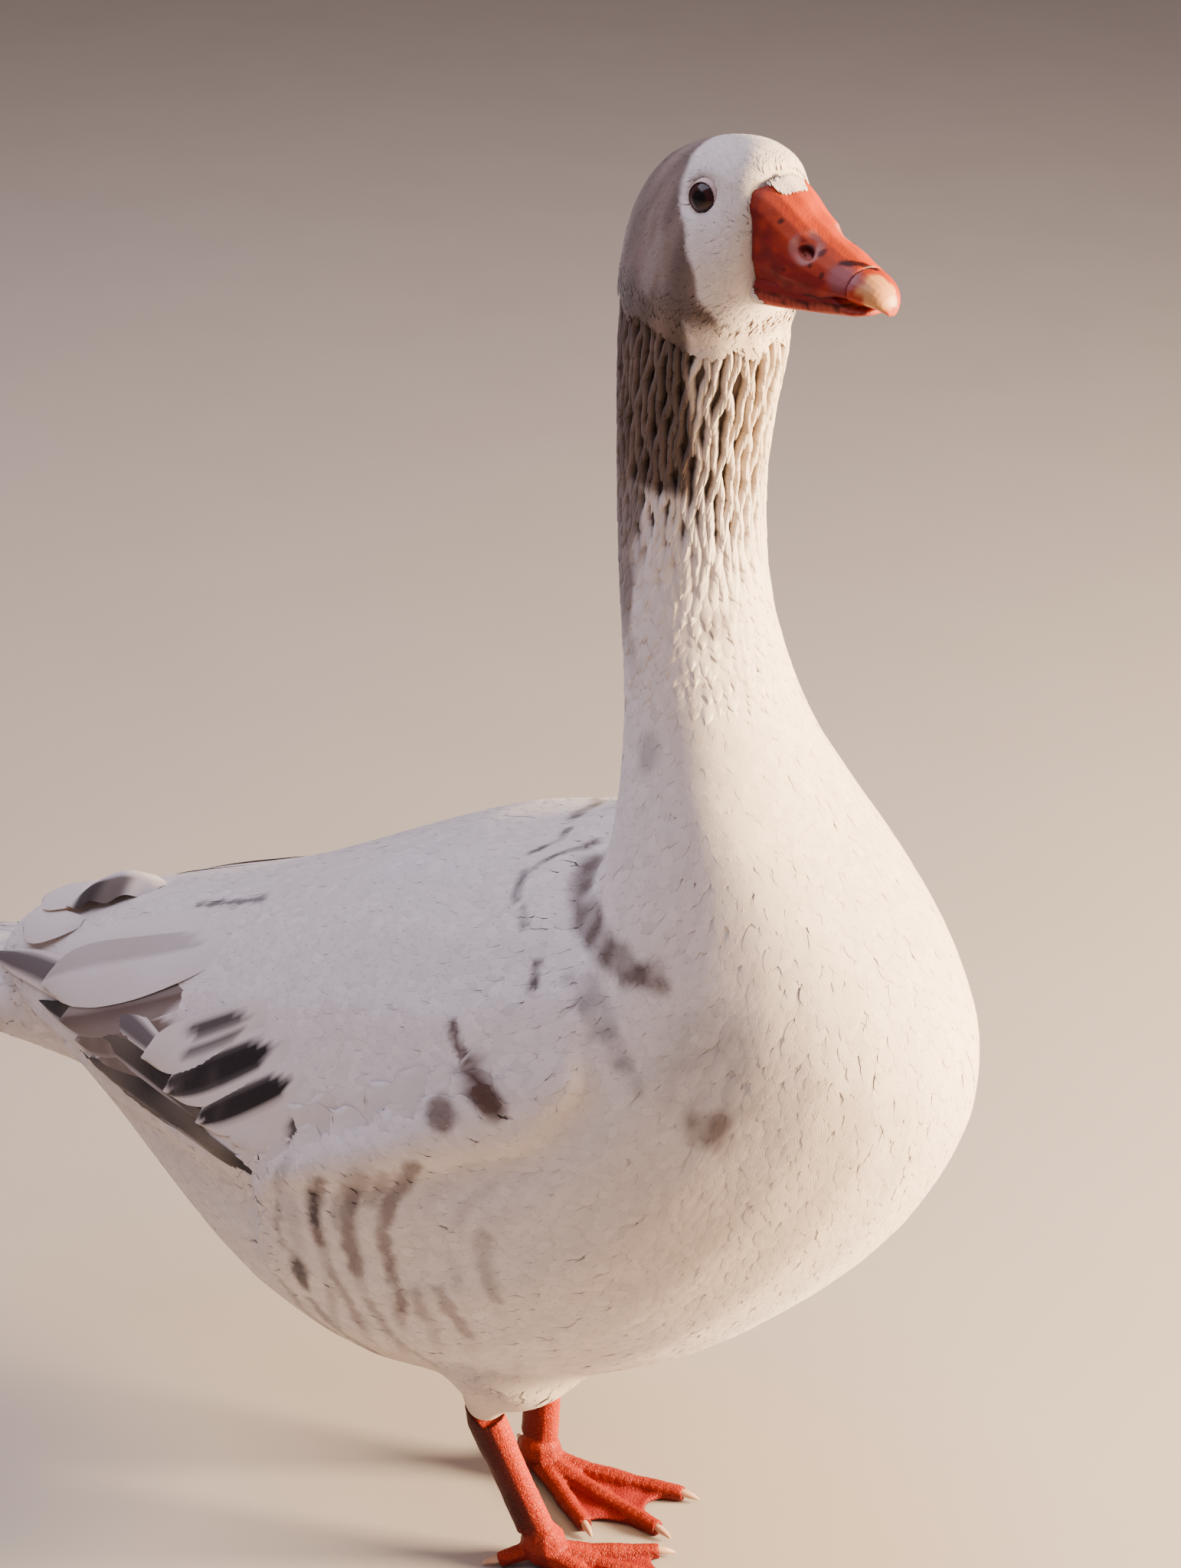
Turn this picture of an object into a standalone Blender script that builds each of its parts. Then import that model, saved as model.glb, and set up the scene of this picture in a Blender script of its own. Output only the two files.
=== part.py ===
"""A domestic goose standing alert, life size, as a still model. Metres, +Z up.

The goose faces +X, so its right side is -Y. All shapes are laid out with the point on the floor
midway between the feet at zero, and the last step moves everything so that the middle of the
model's footprint is the origin. The solids give the outline of the plumage, not of the bare skin.
"""

import math
from typing import NamedTuple

import bmesh
import bpy
from mathutils import Matrix, Vector

MM = 0.001
GAP = 0.3 * MM  # left between two pieces that meet

# Head and bill
NECK_AXIS_X = 75 * MM  # the head turns about a vertical line here
HEAD_TURN = math.radians(-14)  # to the goose's right
TOMIUM_Z = 720 * MM  # the line where the two halves of the bill meet
BILL_BASE_X = 126 * MM
BILL_LENGTH = 68 * MM
BILL_DEPTH = 42 * MM  # of the upper half, at its base
BILL_HALF_WIDTH = 18 * MM
LOWER_BILL_DEPTH = 11 * MM
EYE_RADIUS = 8 * MM
EYE_PLACE = Vector((101 * MM, 20.5 * MM, 753 * MM))  # left eye, head not turned

# Legs
FOOT_PLACE = {"left": (-37 * MM, 30 * MM), "right": (13 * MM, -37 * MM)}  # of the knuckles
FOOT_HEADING = {"left": math.radians(-8), "right": math.radians(16)}
TOE_JOINT_Z = 13 * MM
HOCK_Z = {"left": 99 * MM, "right": 86 * MM}
HOCK_TRACK = 42 * MM
TOE_SPREAD = math.radians(23)
MIDDLE_TOE = 88 * MM
OUTER_TOE = 84 * MM
INNER_TOE = 62 * MM
HIND_TOE = 23 * MM
WEB_THICKNESS = 2.2 * MM
CLAW_LENGTH = 12 * MM
TOE_RADII = {  # in millimetres, from the knuckle to the tip, with the pads as swellings
    "middle": (8.5, 6.4, 5.4, 5.8, 4.8, 5.2, 4.2),
    "outer": (8.2, 6.2, 5.3, 5.6, 4.7, 5.0, 4.2),
    "inner": (7.8, 6.0, 5.0, 5.3, 4.4, 4.1),
    "hind": (5.5, 5.0, 4.6, 4.0),
}
HOCK_X = {"left": -38 * MM, "right": -22 * MM}
HIP_FROM_HOCK = Vector((34 * MM, 16 * MM, 74 * MM))
THIGH_RADII = (44, 42, 37, 30, 23, 17, 13, 11)
SHANK_RADII = (8.5, 11.5, 11.4, 10.8, 10.4, 10.4, 10.9, 11.0)
SHANK_NARROW = 0.74

RING = 20  # points round a section of the body
SLICES = 2  # rings between two sections


class Section(NamedTuple):
    """One slice of the body, from its lowest or foremost point to its highest or hindmost one."""

    low_x: float
    low_z: float
    high_x: float
    high_z: float
    half_width: float
    square: float = 2.0  # 2 is an ellipse, more is boxier
    egg: float = 0.0  # over 0 it is wider towards its high point


def millimetres(rows):
    """Sections from rows whose five lengths are in millimetres."""
    return [Section(*(length * MM for length in row[:5]), *row[5:]) for row in rows]


# Rump to forehead: breast and throat are the low points, back, nape and crown the high ones.
BODY = millimetres([
    (-338, 198, -330, 238, 20, 2.0, 0.0),
    (-308, 182, -296, 266, 38, 2.0, 0.0),
    (-262, 166, -242, 300, 62, 2.1, 0.0),
    (-202, 137, -178, 330, 88, 2.2, 0.0),
    (-134, 108, -112, 358, 113, 2.2, 0.0),
    (-62, 99, -48, 386, 127, 2.2, 0.0),
    (10, 116, 6, 402, 131, 2.2, 0.0),
    (74, 142, 32, 413, 130, 2.1, 0.0),
    (130, 180, 44, 424, 122, 2.1, 0.0),
    (180, 230, 49, 438, 111, 2.0, 0.0),
    (214, 282, 50, 457, 96, 2.0, 0.0),
    (228, 338, 48, 482, 79, 2.0, 0.0),
    (203, 395, 46, 510, 61, 2.0, 0.0),
    (157, 449, 44, 540, 47.5, 2.0, 0.0),
    (125, 504, 41, 571, 39.5, 2.0, 0.0),
    (109, 557, 38, 607, 34.5, 2.0, 0.0),
    (107, 612, 36.5, 644, 33.5, 2.0, 0.0),
    (114, 652, 36, 677, 34.5, 2.0, 0.0),
    (119, 680, 36.5, 711, 35, 2.1, -0.05),
    (118.5, 696, 44, 741, 33, 2.2, -0.12),
    (121, 703, 62, 763, 31, 2.2, -0.14),
    (123, 706, 90, 774.5, 29, 2.2, -0.13),
    (124.5, 707.5, 114, 776, 26, 2.2, -0.10),
    (125.4, 708, 125, 765, 20.5, 2.4, -0.02),
])
TRUNK_END, NECK_MIDDLE, HEAD_START = 11.0, 14.6, 17.0  # places along BODY where nodes part
NECK_TURN_START = 12.0  # the neck twists from here up to the head

# Both folded wings as one shell round the trunk, from the shoulders to the crossed tips.
WINGS = millimetres([
    (198, 226, 58, 446, 118, 2.1, 0.0),
    (142, 172, 44, 434, 130, 2.2, 0.0),
    (80, 134, 30, 431, 138, 2.2, 0.0),
    (12, 108, 5, 420, 140, 2.2, 0.0),
    (-64, 94, -47, 406, 134, 2.2, 0.0),
    (-137, 105, -110, 376, 119, 2.2, 0.0),
    (-206, 128, -176, 342, 98, 2.2, 0.0),
    (-266, 155, -240, 318, 74, 2.2, 0.0),
    (-314, 180, -292, 298, 55, 2.1, 0.0),
    (-346, 204, -330, 283, 39, 2.0, 0.0),
    (-368, 222, -359, 266, 27, 2.0, 0.0),
])
WING_THICKNESS = 13 * MM
WING_PART_Y = GAP / 2  # each wing keeps this far from the goose's middle plane

# What of that shell is wing, seen from the side.
WING_OUTLINE = [
    (72, 320), (92, 350), (84, 384), (56, 412), (34, 430), (10, 460), (-100, 460), (-330, 360),
    (-395, 290), (-376, 243), (-330, 229), (-250, 217), (-150, 227), (-60, 258), (14, 294),
]

# Tail: a flat fan of stiff feathers, with soft feathers over and under its root.
TAIL = millimetres([
    (-306, 180, -294, 250, 30, 2.0, 0.0),
    (-340, 188, -330, 246, 36, 2.2, 0.0),
    (-376, 198, -368, 238, 45, 2.6, 0.0),
    (-408, 208, -404, 226, 52, 3.0, 0.0),
    (-432, 214.5, -431.5, 219.5, 43, 3.0, 0.0),
    (-442, 216, -442, 218, 20, 2.4, 0.0),
])

# Upper half of the bill: low is the cutting edge, high the ridge. Each row has the share of the
# length, the share of the depth, the drop of the edge in millimetres, the share of the width, the
# squareness and the egg of the section.
UPPER_BILL = [
    (0.00, 1.00, 0.0, 1.00, 3.0, -0.06),
    (0.13, 0.90, 0.4, 1.00, 2.8, -0.10),
    (0.30, 0.71, 1.0, 0.97, 2.6, -0.18),
    (0.47, 0.55, 1.0, 0.90, 2.4, -0.24),
    (0.63, 0.44, 0.2, 0.80, 2.3, -0.24),
    (0.765, 0.345, -0.4, 0.69, 2.3, -0.20),
]
NAIL = [
    (0.770, 0.340, -0.4, 0.68, 2.3, -0.20),
    (0.85, 0.295, -0.2, 0.60, 2.3, -0.16),
    (0.93, 0.225, 0.8, 0.47, 2.2, -0.10),
    (0.98, 0.13, 2.2, 0.31, 2.1, 0.0),
    (1.00, 0.03, 3.4, 0.15, 2.0, 0.0),
]
LOWER_BILL = [  # share of the upper half's length, share of the lower depth, share of the width
    (0.00, 1.00, 0.92),
    (0.20, 0.86, 0.90),
    (0.42, 0.66, 0.84),
    (0.62, 0.50, 0.74),
    (0.78, 0.38, 0.60),
    (0.88, 0.22, 0.42),
]


def clear_scene():
    for thing in list(bpy.data.objects):
        bpy.data.objects.remove(thing)


def make_material(name, colour, roughness, metallic=0.0):
    made = bpy.data.materials.new(name)
    made.use_nodes = True
    shader = made.node_tree.nodes["Principled BSDF"]
    shader.inputs["Base Color"].default_value = (*colour, 1)
    shader.inputs["Roughness"].default_value = roughness
    shader.inputs["Metallic"].default_value = metallic
    return made


def add_object(name, shape, material, helper=False):
    """An object from a bmesh. A helper only cuts or joins others."""
    bmesh.ops.recalc_face_normals(shape, faces=shape.faces)
    mesh = bpy.data.meshes.new(name)
    shape.to_mesh(mesh)
    shape.free()
    mesh.materials.append(material)
    mesh.shade_smooth()
    mesh.set_sharp_from_angle(angle=math.radians(40))
    made = bpy.data.objects.new(name, mesh)
    bpy.context.scene.collection.objects.link(made)
    if helper:
        made.hide_render = True
        made.display_type = "WIRE"
    return made


def combine(target, other, operation):
    """Cuts other from target, joins it to it or keeps what they share."""
    step = target.modifiers.new(operation.lower(), "BOOLEAN")
    step.operation = operation
    step.object = other
    return target


# ---- Lofts through sections ---------------------------------------------------------------------

def curve_through(rows, place):
    """A smooth curve through rows of numbers, read at a place counted in rows."""
    last = len(rows) - 1
    first = min(int(place), last - 1)
    share = place - first
    before, start, end, after = (
        rows[min(max(index, 0), last)] for index in range(first - 1, first + 3)
    )
    if first == 0:
        before = [2 * a - b for a, b in zip(start, end)]
    if first == last - 1:
        after = [2 * b - a for a, b in zip(start, end)]
    return [
        0.5 * (2 * b + (c - a) * share + (2 * a - 5 * b + 4 * c - d) * share**2
               + (3 * b - a - 3 * c + d) * share**3)
        for a, b, c, d in zip(before, start, end, after)
    ]


def section_ring(section, grow=0.0, points=RING):
    """The outline of a section, starting at its high point and going round by the left side."""
    low = Vector((section.low_x, 0, section.low_z))
    high = Vector((section.high_x, 0, section.high_z))
    centre, half = (low + high) / 2, (high - low) / 2
    reach = half.normalized() * (half.length + grow)
    power = 2 / section.square
    ring = []
    for step in range(points):
        turn = math.tau * step / points
        along = math.copysign(abs(math.cos(turn)) ** power, math.cos(turn))
        across = math.copysign(abs(math.sin(turn)) ** power, math.sin(turn))
        width = (section.half_width + grow) * across * (1 + section.egg * along)
        ring.append(centre + reach * along + Vector((0, width, 0)))
    return ring


def rings_between(sections, start, end, grow=0.0, slices=SLICES):
    count = max(2, round((end - start) * slices))
    places = [start + (end - start) * step / count for step in range(count + 1)]
    return [(place, section_ring(Section(*curve_through(sections, place)), grow))
            for place in places]


def loft(rings):
    """A closed bmesh through rings of equal size, with its two ends filled."""
    shape = bmesh.new()
    rows = [[shape.verts.new(point) for point in ring] for ring in rings]
    for row, following in zip(rows, rows[1:]):
        for index, vertex in enumerate(row):
            beside = (index + 1) % len(row)
            four = (vertex, row[beside], following[beside], following[index])
            if index < len(row) / 2:  # the same split on both sides of the goose
                shape.faces.new((four[0], four[1], four[2]))
                shape.faces.new((four[0], four[2], four[3]))
            else:
                shape.faces.new((four[0], four[1], four[3]))
                shape.faces.new((four[1], four[2], four[3]))
    for row in (rows[0], rows[-1]):
        middle = shape.verts.new(sum((vertex.co for vertex in row), Vector()) / len(row))
        for index, vertex in enumerate(row):
            shape.faces.new((vertex, row[(index + 1) % len(row)], middle))
    return shape


def turn_with_head(point, share=1.0):
    """A point moved by the turn of the head, or by a share of it lower on the neck."""
    axis = Vector((NECK_AXIS_X, 0, 0))
    return axis + Matrix.Rotation(HEAD_TURN * share, 3, "Z") @ (point - axis)


def turn_share(place):
    """How much of the head's turn the body has at a place along BODY."""
    share = min(max((place - NECK_TURN_START) / (HEAD_START - NECK_TURN_START), 0), 1)
    return share * share * (3 - 2 * share)


def body_length(start, end, grow=0.0):
    rings = rings_between(BODY, start, end, grow)
    return loft([[turn_with_head(point, turn_share(place)) for point in ring]
                 for place, ring in rings])


# ---- Head ---------------------------------------------------------------------------------------

def bill_sections(rows, lower=False):
    """Sections of half a bill, set in the unturned head."""
    made = []
    for row in rows:
        x = BILL_BASE_X + row[0] * BILL_LENGTH
        if lower:
            depth, width = row[1] * LOWER_BILL_DEPTH, row[2] * BILL_HALF_WIDTH
            top = TOMIUM_Z - GAP - 1.2 * MM
            made.append(Section(x, top - depth, x, top, width, 2.6, 0.10))
        else:
            edge = TOMIUM_Z - row[2] * MM
            made.append(Section(x, edge, x, TOMIUM_Z + row[1] * BILL_DEPTH,
                                row[3] * BILL_HALF_WIDTH, row[4], row[5]))
    return made


def bill_piece(name, sections, material):
    last = len(sections) - 1
    rings = [section_ring(Section(*curve_through(sections, step / 2)), points=16)
             for step in range(2 * last + 1)]
    return add_object(name, loft([[turn_with_head(p) for p in ring] for ring in rings]), material)


def eyeball(name, side, material, radius=EYE_RADIUS, helper=False):
    centre = turn_with_head(Vector((EYE_PLACE.x, side * EYE_PLACE.y, EYE_PLACE.z)))
    shape = bmesh.new()
    bmesh.ops.create_icosphere(shape, subdivisions=3, radius=radius,
                               matrix=Matrix.Translation(centre))
    return add_object(name, shape, material, helper)


def make_head(plumage, horn, nail, eye):
    head = add_object("head", body_length(HEAD_START + 0.01, len(BODY) - 1), plumage)
    bill_piece("bill_upper", bill_sections(UPPER_BILL), horn)
    bill_piece("bill_nail", bill_sections(NAIL), nail)
    bill_piece("bill_lower", bill_sections(LOWER_BILL, lower=True), horn)
    for side, word in ((1, "left"), (-1, "right")):
        eyeball(f"eye_{word}", side, eye)
        socket = eyeball(f"socket_{word}", side, eye, EYE_RADIUS + GAP, helper=True)
        combine(head, socket, "DIFFERENCE")


# ---- Trunk, wings and tail ----------------------------------------------------------------------

def outline_slab(name, start, end, grow, material):
    """An upright slab from y = start to y = end with the wings' side outline."""
    shape = bmesh.new()
    points = [Vector((x * MM, start, z * MM)) for x, z in WING_OUTLINE]
    middle = sum(points, Vector()) / len(points)
    corners = [shape.verts.new(point + (point - middle).normalized() * grow) for point in points]
    wide = bmesh.ops.extrude_face_region(shape, geom=[shape.faces.new(corners)])["geom"]
    moved = [item for item in wide if isinstance(item, bmesh.types.BMVert)]
    bmesh.ops.translate(shape, verts=moved, vec=(0, end - start, 0))
    return add_object(name, shape, material, helper=True)


def wing_shell(name, grow, material, helper=False):
    """The shell, or with a negative grow its hollow, which stops short of the solid tips. What
    the hollow holds stops a gap sooner."""
    last = len(WINGS) - (1 if grow >= 0 else 2.4 if grow == -WING_THICKNESS else 2.41)
    rings = [ring for _, ring in rings_between(WINGS, 0, last, grow, slices=2)]
    return add_object(name, loft(rings), material, helper)


def make_wing(word, side, plumage):
    """A wing is the outer layer of the shell, inside the outline, on one side."""
    wing = wing_shell(f"wing_{word}", 0.0, plumage)
    slab = outline_slab(f"outline_{word}", side * WING_PART_Y, side * 0.3, 0.0, plumage)
    combine(wing, slab, "INTERSECT")
    combine(wing, wing_shell(f"inside_{word}", -WING_THICKNESS, plumage, helper=True), "DIFFERENCE")


def make_room(name, plumage):
    """The room both wings take with what they cover, a gap larger."""
    room = wing_shell(name, GAP, plumage, helper=True)
    return combine(room, outline_slab(f"{name}_slab", -0.31, 0.31, GAP, plumage), "INTERSECT")


def make_trunk(plumage):
    trunk = add_object("trunk", body_length(0, TRUNK_END - 0.01), plumage)
    layer = make_room("layer", plumage)
    core = wing_shell("core", -WING_THICKNESS - GAP, plumage, helper=True)
    combine(layer, core, "DIFFERENCE")
    combine(trunk, layer, "DIFFERENCE")
    tail_rings = [ring for _, ring in rings_between(TAIL, 0, len(TAIL) - 1, slices=1)]
    tail = add_object("tail", loft(tail_rings), plumage)
    combine(tail, trunk_copy("rump", plumage), "DIFFERENCE")
    combine(tail, make_room("lump", plumage), "DIFFERENCE")
    for side, word in ((1, "left"), (-1, "right")):
        make_wing(word, side, plumage)
    add_object("neck_lower", body_length(TRUNK_END + 0.01, NECK_MIDDLE - 0.01), plumage)
    add_object("neck_upper", body_length(NECK_MIDDLE + 0.01, HEAD_START - 0.01), plumage)


# ---- Legs ---------------------------------------------------------------------------------------

def limb(points, radii, sides=10, narrow=1.0):
    """A limb through points, with a radius at each, closed at both ends. Its width from side to
    side is narrow times its depth."""
    rings = []
    for index, point in enumerate(points):
        before, after = points[max(index - 1, 0)], points[min(index + 1, len(points) - 1)]
        along = (after - before).normalized()
        across = Vector((0, 1, 0)).cross(along).normalized()
        other = along.cross(across)
        other *= narrow
        rings.append([point + radii[index] * (across * math.cos(turn) + other * math.sin(turn))
                      for turn in (math.tau * step / sides for step in range(sides))])
    return loft(rings)


def limb_along(start, end, radii, rise=0.0, sides=14, narrow=1.0):
    """A limb from start to end with evenly spaced radii and a bow of height rise."""
    last = len(radii) - 1
    shares = [index / last for index in range(last + 1)]
    points = [start.lerp(end, share) + Vector((0, 0, 4 * rise * share * (1 - share)))
              for share in shares]
    return limb(points, [radius * MM for radius in radii], sides, narrow)


def toe_plan(word, side):
    """Name, direction and length of each toe. The inner one points to the other leg."""
    heading = FOOT_HEADING[word]
    return [
        ("middle", heading, MIDDLE_TOE),
        ("outer", heading + side * TOE_SPREAD, OUTER_TOE),
        ("inner", heading - side * TOE_SPREAD, INNER_TOE),
        ("hind", heading + math.pi - side * math.radians(25), HIND_TOE),
    ]


def heading_vector(angle):
    return Vector((math.cos(angle), math.sin(angle), 0))


def make_ankle(name, joint, grow, skin, helper=False):
    """The knuckle where the toes meet, on which the shank stands."""
    ball = bmesh.new()
    bmesh.ops.create_uvsphere(ball, u_segments=10, v_segments=6, radius=1)
    place = Matrix.Translation(joint + Vector((1 * MM, 0, 0)))
    size = Vector((13 * MM + grow, 11.5 * MM + grow, 13 * MM + grow))
    bmesh.ops.transform(ball, matrix=place @ Matrix.Diagonal(size).to_4x4(), verts=ball.verts)
    return add_object(name, ball, skin, helper)


def web_outline(joint, toes):
    """From the heel round the free edge, which dips between the toes."""
    (_, middle, middle_length), (_, outer, outer_length), (_, inner, inner_length) = toes[:3]
    edge = [joint - heading_vector(middle) * 5 * MM]
    fans = ((outer, outer_length, middle, middle_length),
            (middle, middle_length, inner, inner_length))
    for fan, (start, start_length, end, end_length) in enumerate(fans):
        for step in range(fan, 6):
            share = step / 5
            reach = start_length * (1 - share) + end_length * share
            reach *= 0.95 - 0.62 * share * (1 - share)
            edge.append(joint + heading_vector(start + (end - start) * share) * reach)
    return edge


def make_web(name, joint, toes, skin):
    """A sheet between the toes, thicker towards the knuckle."""
    web = bmesh.new()
    corners = [web.verts.new((point.x, point.y, 1.5 * MM)) for point in web_outline(joint, toes)]
    top = bmesh.ops.extrude_face_region(web, geom=[web.faces.new(corners)])["geom"]
    raised = [item for item in top if isinstance(item, bmesh.types.BMVert)]
    bmesh.ops.translate(web, verts=raised, vec=(0, 0, WEB_THICKNESS))
    bmesh.ops.triangulate(web, faces=web.faces)
    return add_object(name, web, skin, helper=True)


def make_foot(word, side, joint, skin, horn):
    """Four toes on a knuckle with a web between the front three, trimmed flat at the floor."""
    toes = toe_plan(word, side)
    foot = make_ankle(f"foot_{word}", joint, 0.0, skin)
    combine(foot, make_web(f"web_{word}", joint, toes, skin), "UNION")
    for name, angle, length in toes:
        start = joint + heading_vector(angle) * length * 0.04
        start.z -= 2 * MM if name == "hind" else 5 * MM
        sag = 0 if name == "hind" else -1.6 * MM
        tip = joint + heading_vector(angle) * length
        tip.z = 3.6 * MM if name == "hind" else 4.2 * MM
        toe = add_object(f"toe_{word}_{name}", limb_along(start, tip, TOE_RADII[name], sag, 8),
                         skin, helper=True)
        combine(foot, toe, "UNION")
        add_object(f"claw_{word}_{name}", claw_shape(tip, angle, 0.0), horn)
        socket = add_object(f"socket_{word}_{name}", claw_shape(tip, angle, GAP), skin, helper=True)
        combine(foot, socket, "DIFFERENCE")
    ground = bmesh.new()
    bmesh.ops.create_cube(ground, size=0.4, matrix=Matrix.Translation((joint.x, joint.y, -0.2)))
    combine(foot, add_object(f"ground_{word}", ground, skin, helper=True), "DIFFERENCE")
    return foot


def claw_shape(tip, angle, grow):
    """A short, blunt claw that curves down from the end of a toe."""
    ahead = heading_vector(angle)
    root = tip - ahead * 3.0 * MM + Vector((0, 0, 0.8 * MM))
    points = [root + ahead * (CLAW_LENGTH * share) - Vector((0, 0, 2.4 * MM * share**2))
              for share in (0, 0.35, 0.7, 1)]
    radii = [radius * MM + grow for radius in (2.3, 2.4, 1.8, 0.7)]
    points[-1] += ahead * grow
    points[0] -= ahead * grow
    return limb(points, radii, sides=8)


def make_leg(word, side, plumage, skin, horn):
    joint = Vector((*FOOT_PLACE[word], TOE_JOINT_Z))
    hock = Vector((HOCK_X[word], side * HOCK_TRACK, HOCK_Z[word]))
    hip = hock + HIP_FROM_HOCK * Vector((1, side, 1))
    foot = make_foot(word, side, joint, skin, horn)
    thigh = add_object(f"thigh_{word}", limb_along(hip, hock, THIGH_RADII, sides=14), plumage)
    combine(thigh, trunk_copy(f"trunk_{word}", plumage), "DIFFERENCE")
    along = (hock - joint).normalized()
    shank = add_object(f"shank_{word}", limb_along(
        hock + along * 5 * MM, joint + along * 10 * MM, SHANK_RADII, narrow=SHANK_NARROW), skin)
    feathers = add_object(f"feathers_{word}", limb_along(
        hip, hock, [radius + GAP / MM for radius in THIGH_RADII], sides=14), plumage, helper=True)
    combine(shank, feathers, "DIFFERENCE")
    grown = make_ankle(f"grown_{word}", joint, GAP, skin, helper=True)
    combine(shank, grown, "DIFFERENCE")
    return foot


def trunk_copy(name, plumage):
    """The whole trunk, a gap larger, to cut from what meets it."""
    return add_object(name, body_length(-0.014, TRUNK_END - 0.01, grow=GAP), plumage, helper=True)


# ---- The whole goose ----------------------------------------------------------------------------

def stand_on_origin():
    """Moves all so that the middle of the footprint's box is the origin and the soles are at 0."""
    bpy.context.view_layer.update()
    graph = bpy.context.evaluated_depsgraph_get()
    corners = [thing.matrix_world @ Vector(corner)
               for thing in bpy.data.objects if not thing.hide_render
               for corner in thing.evaluated_get(graph).bound_box]
    low = Vector(min(corner[axis] for corner in corners) for axis in range(3))
    high = Vector(max(corner[axis] for corner in corners) for axis in range(3))
    shift = Vector((-(low.x + high.x) / 2, -(low.y + high.y) / 2, -low.z))
    for thing in bpy.data.objects:
        thing.location += shift
    print("moved by", tuple(round(value, 5) for value in shift))


def main():
    clear_scene()
    plumage = make_material("plumage", (0.80, 0.76, 0.72), 0.9)
    horn = make_material("bill_horn", (0.72, 0.16, 0.04), 0.45)
    nail = make_material("bill_nail", (0.80, 0.55, 0.42), 0.4)
    eye = make_material("eye", (0.04, 0.015, 0.01), 0.08)
    skin = make_material("leg_skin", (0.75, 0.14, 0.04), 0.55)
    claw = make_material("claw", (0.45, 0.30, 0.22), 0.4)
    make_head(plumage, horn, nail, eye)
    make_trunk(plumage)
    for side, word in ((1, "left"), (-1, "right")):
        make_leg(word, side, plumage, skin, claw)
    stand_on_origin()


main()
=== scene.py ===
# %% [markdown]
# # A domestic goose, life size and still
# The construction model gives the goose as plain solids: head, neck, trunk, wings, tail, legs. Here it gets
# its looks: one skin under a coat of separate feathers, a bill with nostrils, wet eyes, and scaly legs. The
# goose faces +X and its right side is -Y. All lengths are in metres, unless a comment says otherwise.

# %% Load the construction model
import math

import bpy
import numpy as np
from mathutils import Matrix, Vector
from mathutils.bvhtree import BVHTree


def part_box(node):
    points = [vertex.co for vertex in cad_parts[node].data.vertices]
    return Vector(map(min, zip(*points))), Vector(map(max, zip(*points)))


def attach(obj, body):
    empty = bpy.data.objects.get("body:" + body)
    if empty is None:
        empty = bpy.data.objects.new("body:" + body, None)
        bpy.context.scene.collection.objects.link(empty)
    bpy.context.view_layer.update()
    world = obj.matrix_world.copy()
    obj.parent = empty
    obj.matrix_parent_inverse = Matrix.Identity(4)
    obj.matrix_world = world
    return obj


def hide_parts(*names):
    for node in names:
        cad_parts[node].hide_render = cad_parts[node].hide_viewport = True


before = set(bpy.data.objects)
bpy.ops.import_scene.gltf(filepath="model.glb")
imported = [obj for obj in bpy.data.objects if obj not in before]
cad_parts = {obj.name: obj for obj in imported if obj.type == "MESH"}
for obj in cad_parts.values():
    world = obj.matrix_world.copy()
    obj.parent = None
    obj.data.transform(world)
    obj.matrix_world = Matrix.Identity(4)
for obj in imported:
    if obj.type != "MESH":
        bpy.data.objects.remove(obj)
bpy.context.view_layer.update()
MM = 0.001

# %% [markdown]
# Places on the goose are measured from the boxes of its parts, so they move with the construction. The
# head is turned to the goose's right about an upright line in the neck. Points on it are easier to name
# with the head straight, so two helpers go back and forth.

# %% Named places
head_low, head_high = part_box("head")
HEAD_TURN = math.radians(-14)
NECK_AXIS = Vector((head_low.x + 39 * MM, 0, 0))
CROWN_Z = head_high.z
MOUTH_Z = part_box("bill_upper")[0].z + 1 * MM


def straight(points):
    """Points of the turned head, as if the head looked straight ahead of the neck's line."""
    x, y = points[:, 0] - NECK_AXIS.x, points[:, 1]
    c, s = math.cos(-HEAD_TURN), math.sin(-HEAD_TURN)
    return np.stack([x * c - y * s, x * s + y * c, points[:, 2]], axis=1)


def turned(points):
    """The way back from straight()."""
    c, s = math.cos(HEAD_TURN), math.sin(HEAD_TURN)
    x, y = points[:, 0], points[:, 1]
    return np.stack([x * c - y * s + NECK_AXIS.x, x * s + y * c, points[:, 2]], axis=1)


def turned_way(way):
    """A direction of the straight head, on the turned one."""
    return (turned(np.array([way], float)) - turned(np.zeros((1, 3))))[0]


AHEAD = turned_way([1, 0, 0])
print("head from", round(head_low.z, 3), "to", round(CROWN_Z, 3), "and looks along", AHEAD.round(2))

# %% [markdown]
# ## Numbers in bulk
# Thousands of feathers are easier to make from arrays than one by one. `step_up` is a soft switch from 0
# to 1, `hump` a soft bell, and `waves` a smooth, repeatable noise made of a few sine waves in random
# directions. `layered` lays colours one over the other, each with its share at every point.

# %% Soft switches and noise
def step_up(value, low, high):
    share = np.clip((value - low) / (high - low), 0, 1)
    return share * share * (3 - 2 * share)


def hump(value, middle, reach):
    return np.exp(-(((value - middle) / reach) ** 2))


def waves(points, size, seed):
    """Smooth noise from about -1 to 1, with bumps about as wide as size."""
    source = np.random.default_rng(seed)
    total = np.zeros(len(points))
    for _ in range(7):
        way = source.normal(size=3)
        way *= source.uniform(0.7, 1.5) * math.pi / size / np.linalg.norm(way)
        total += np.sin(points @ way + source.uniform(0, math.tau))
    return total / 3.2


def toward(value, target, share):
    return value + (target - value) * share


def layered(base, marks):
    """Colours or directions laid over a base. Each mark is what is laid and its share at each point."""
    for mark, share in marks:
        base = toward(base, mark, share[:, None])
    return base


print("noise at two places:", waves(np.array([[0, 0, 0], [0.1, 0, 0]]), 0.05, 1).round(2))

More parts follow.
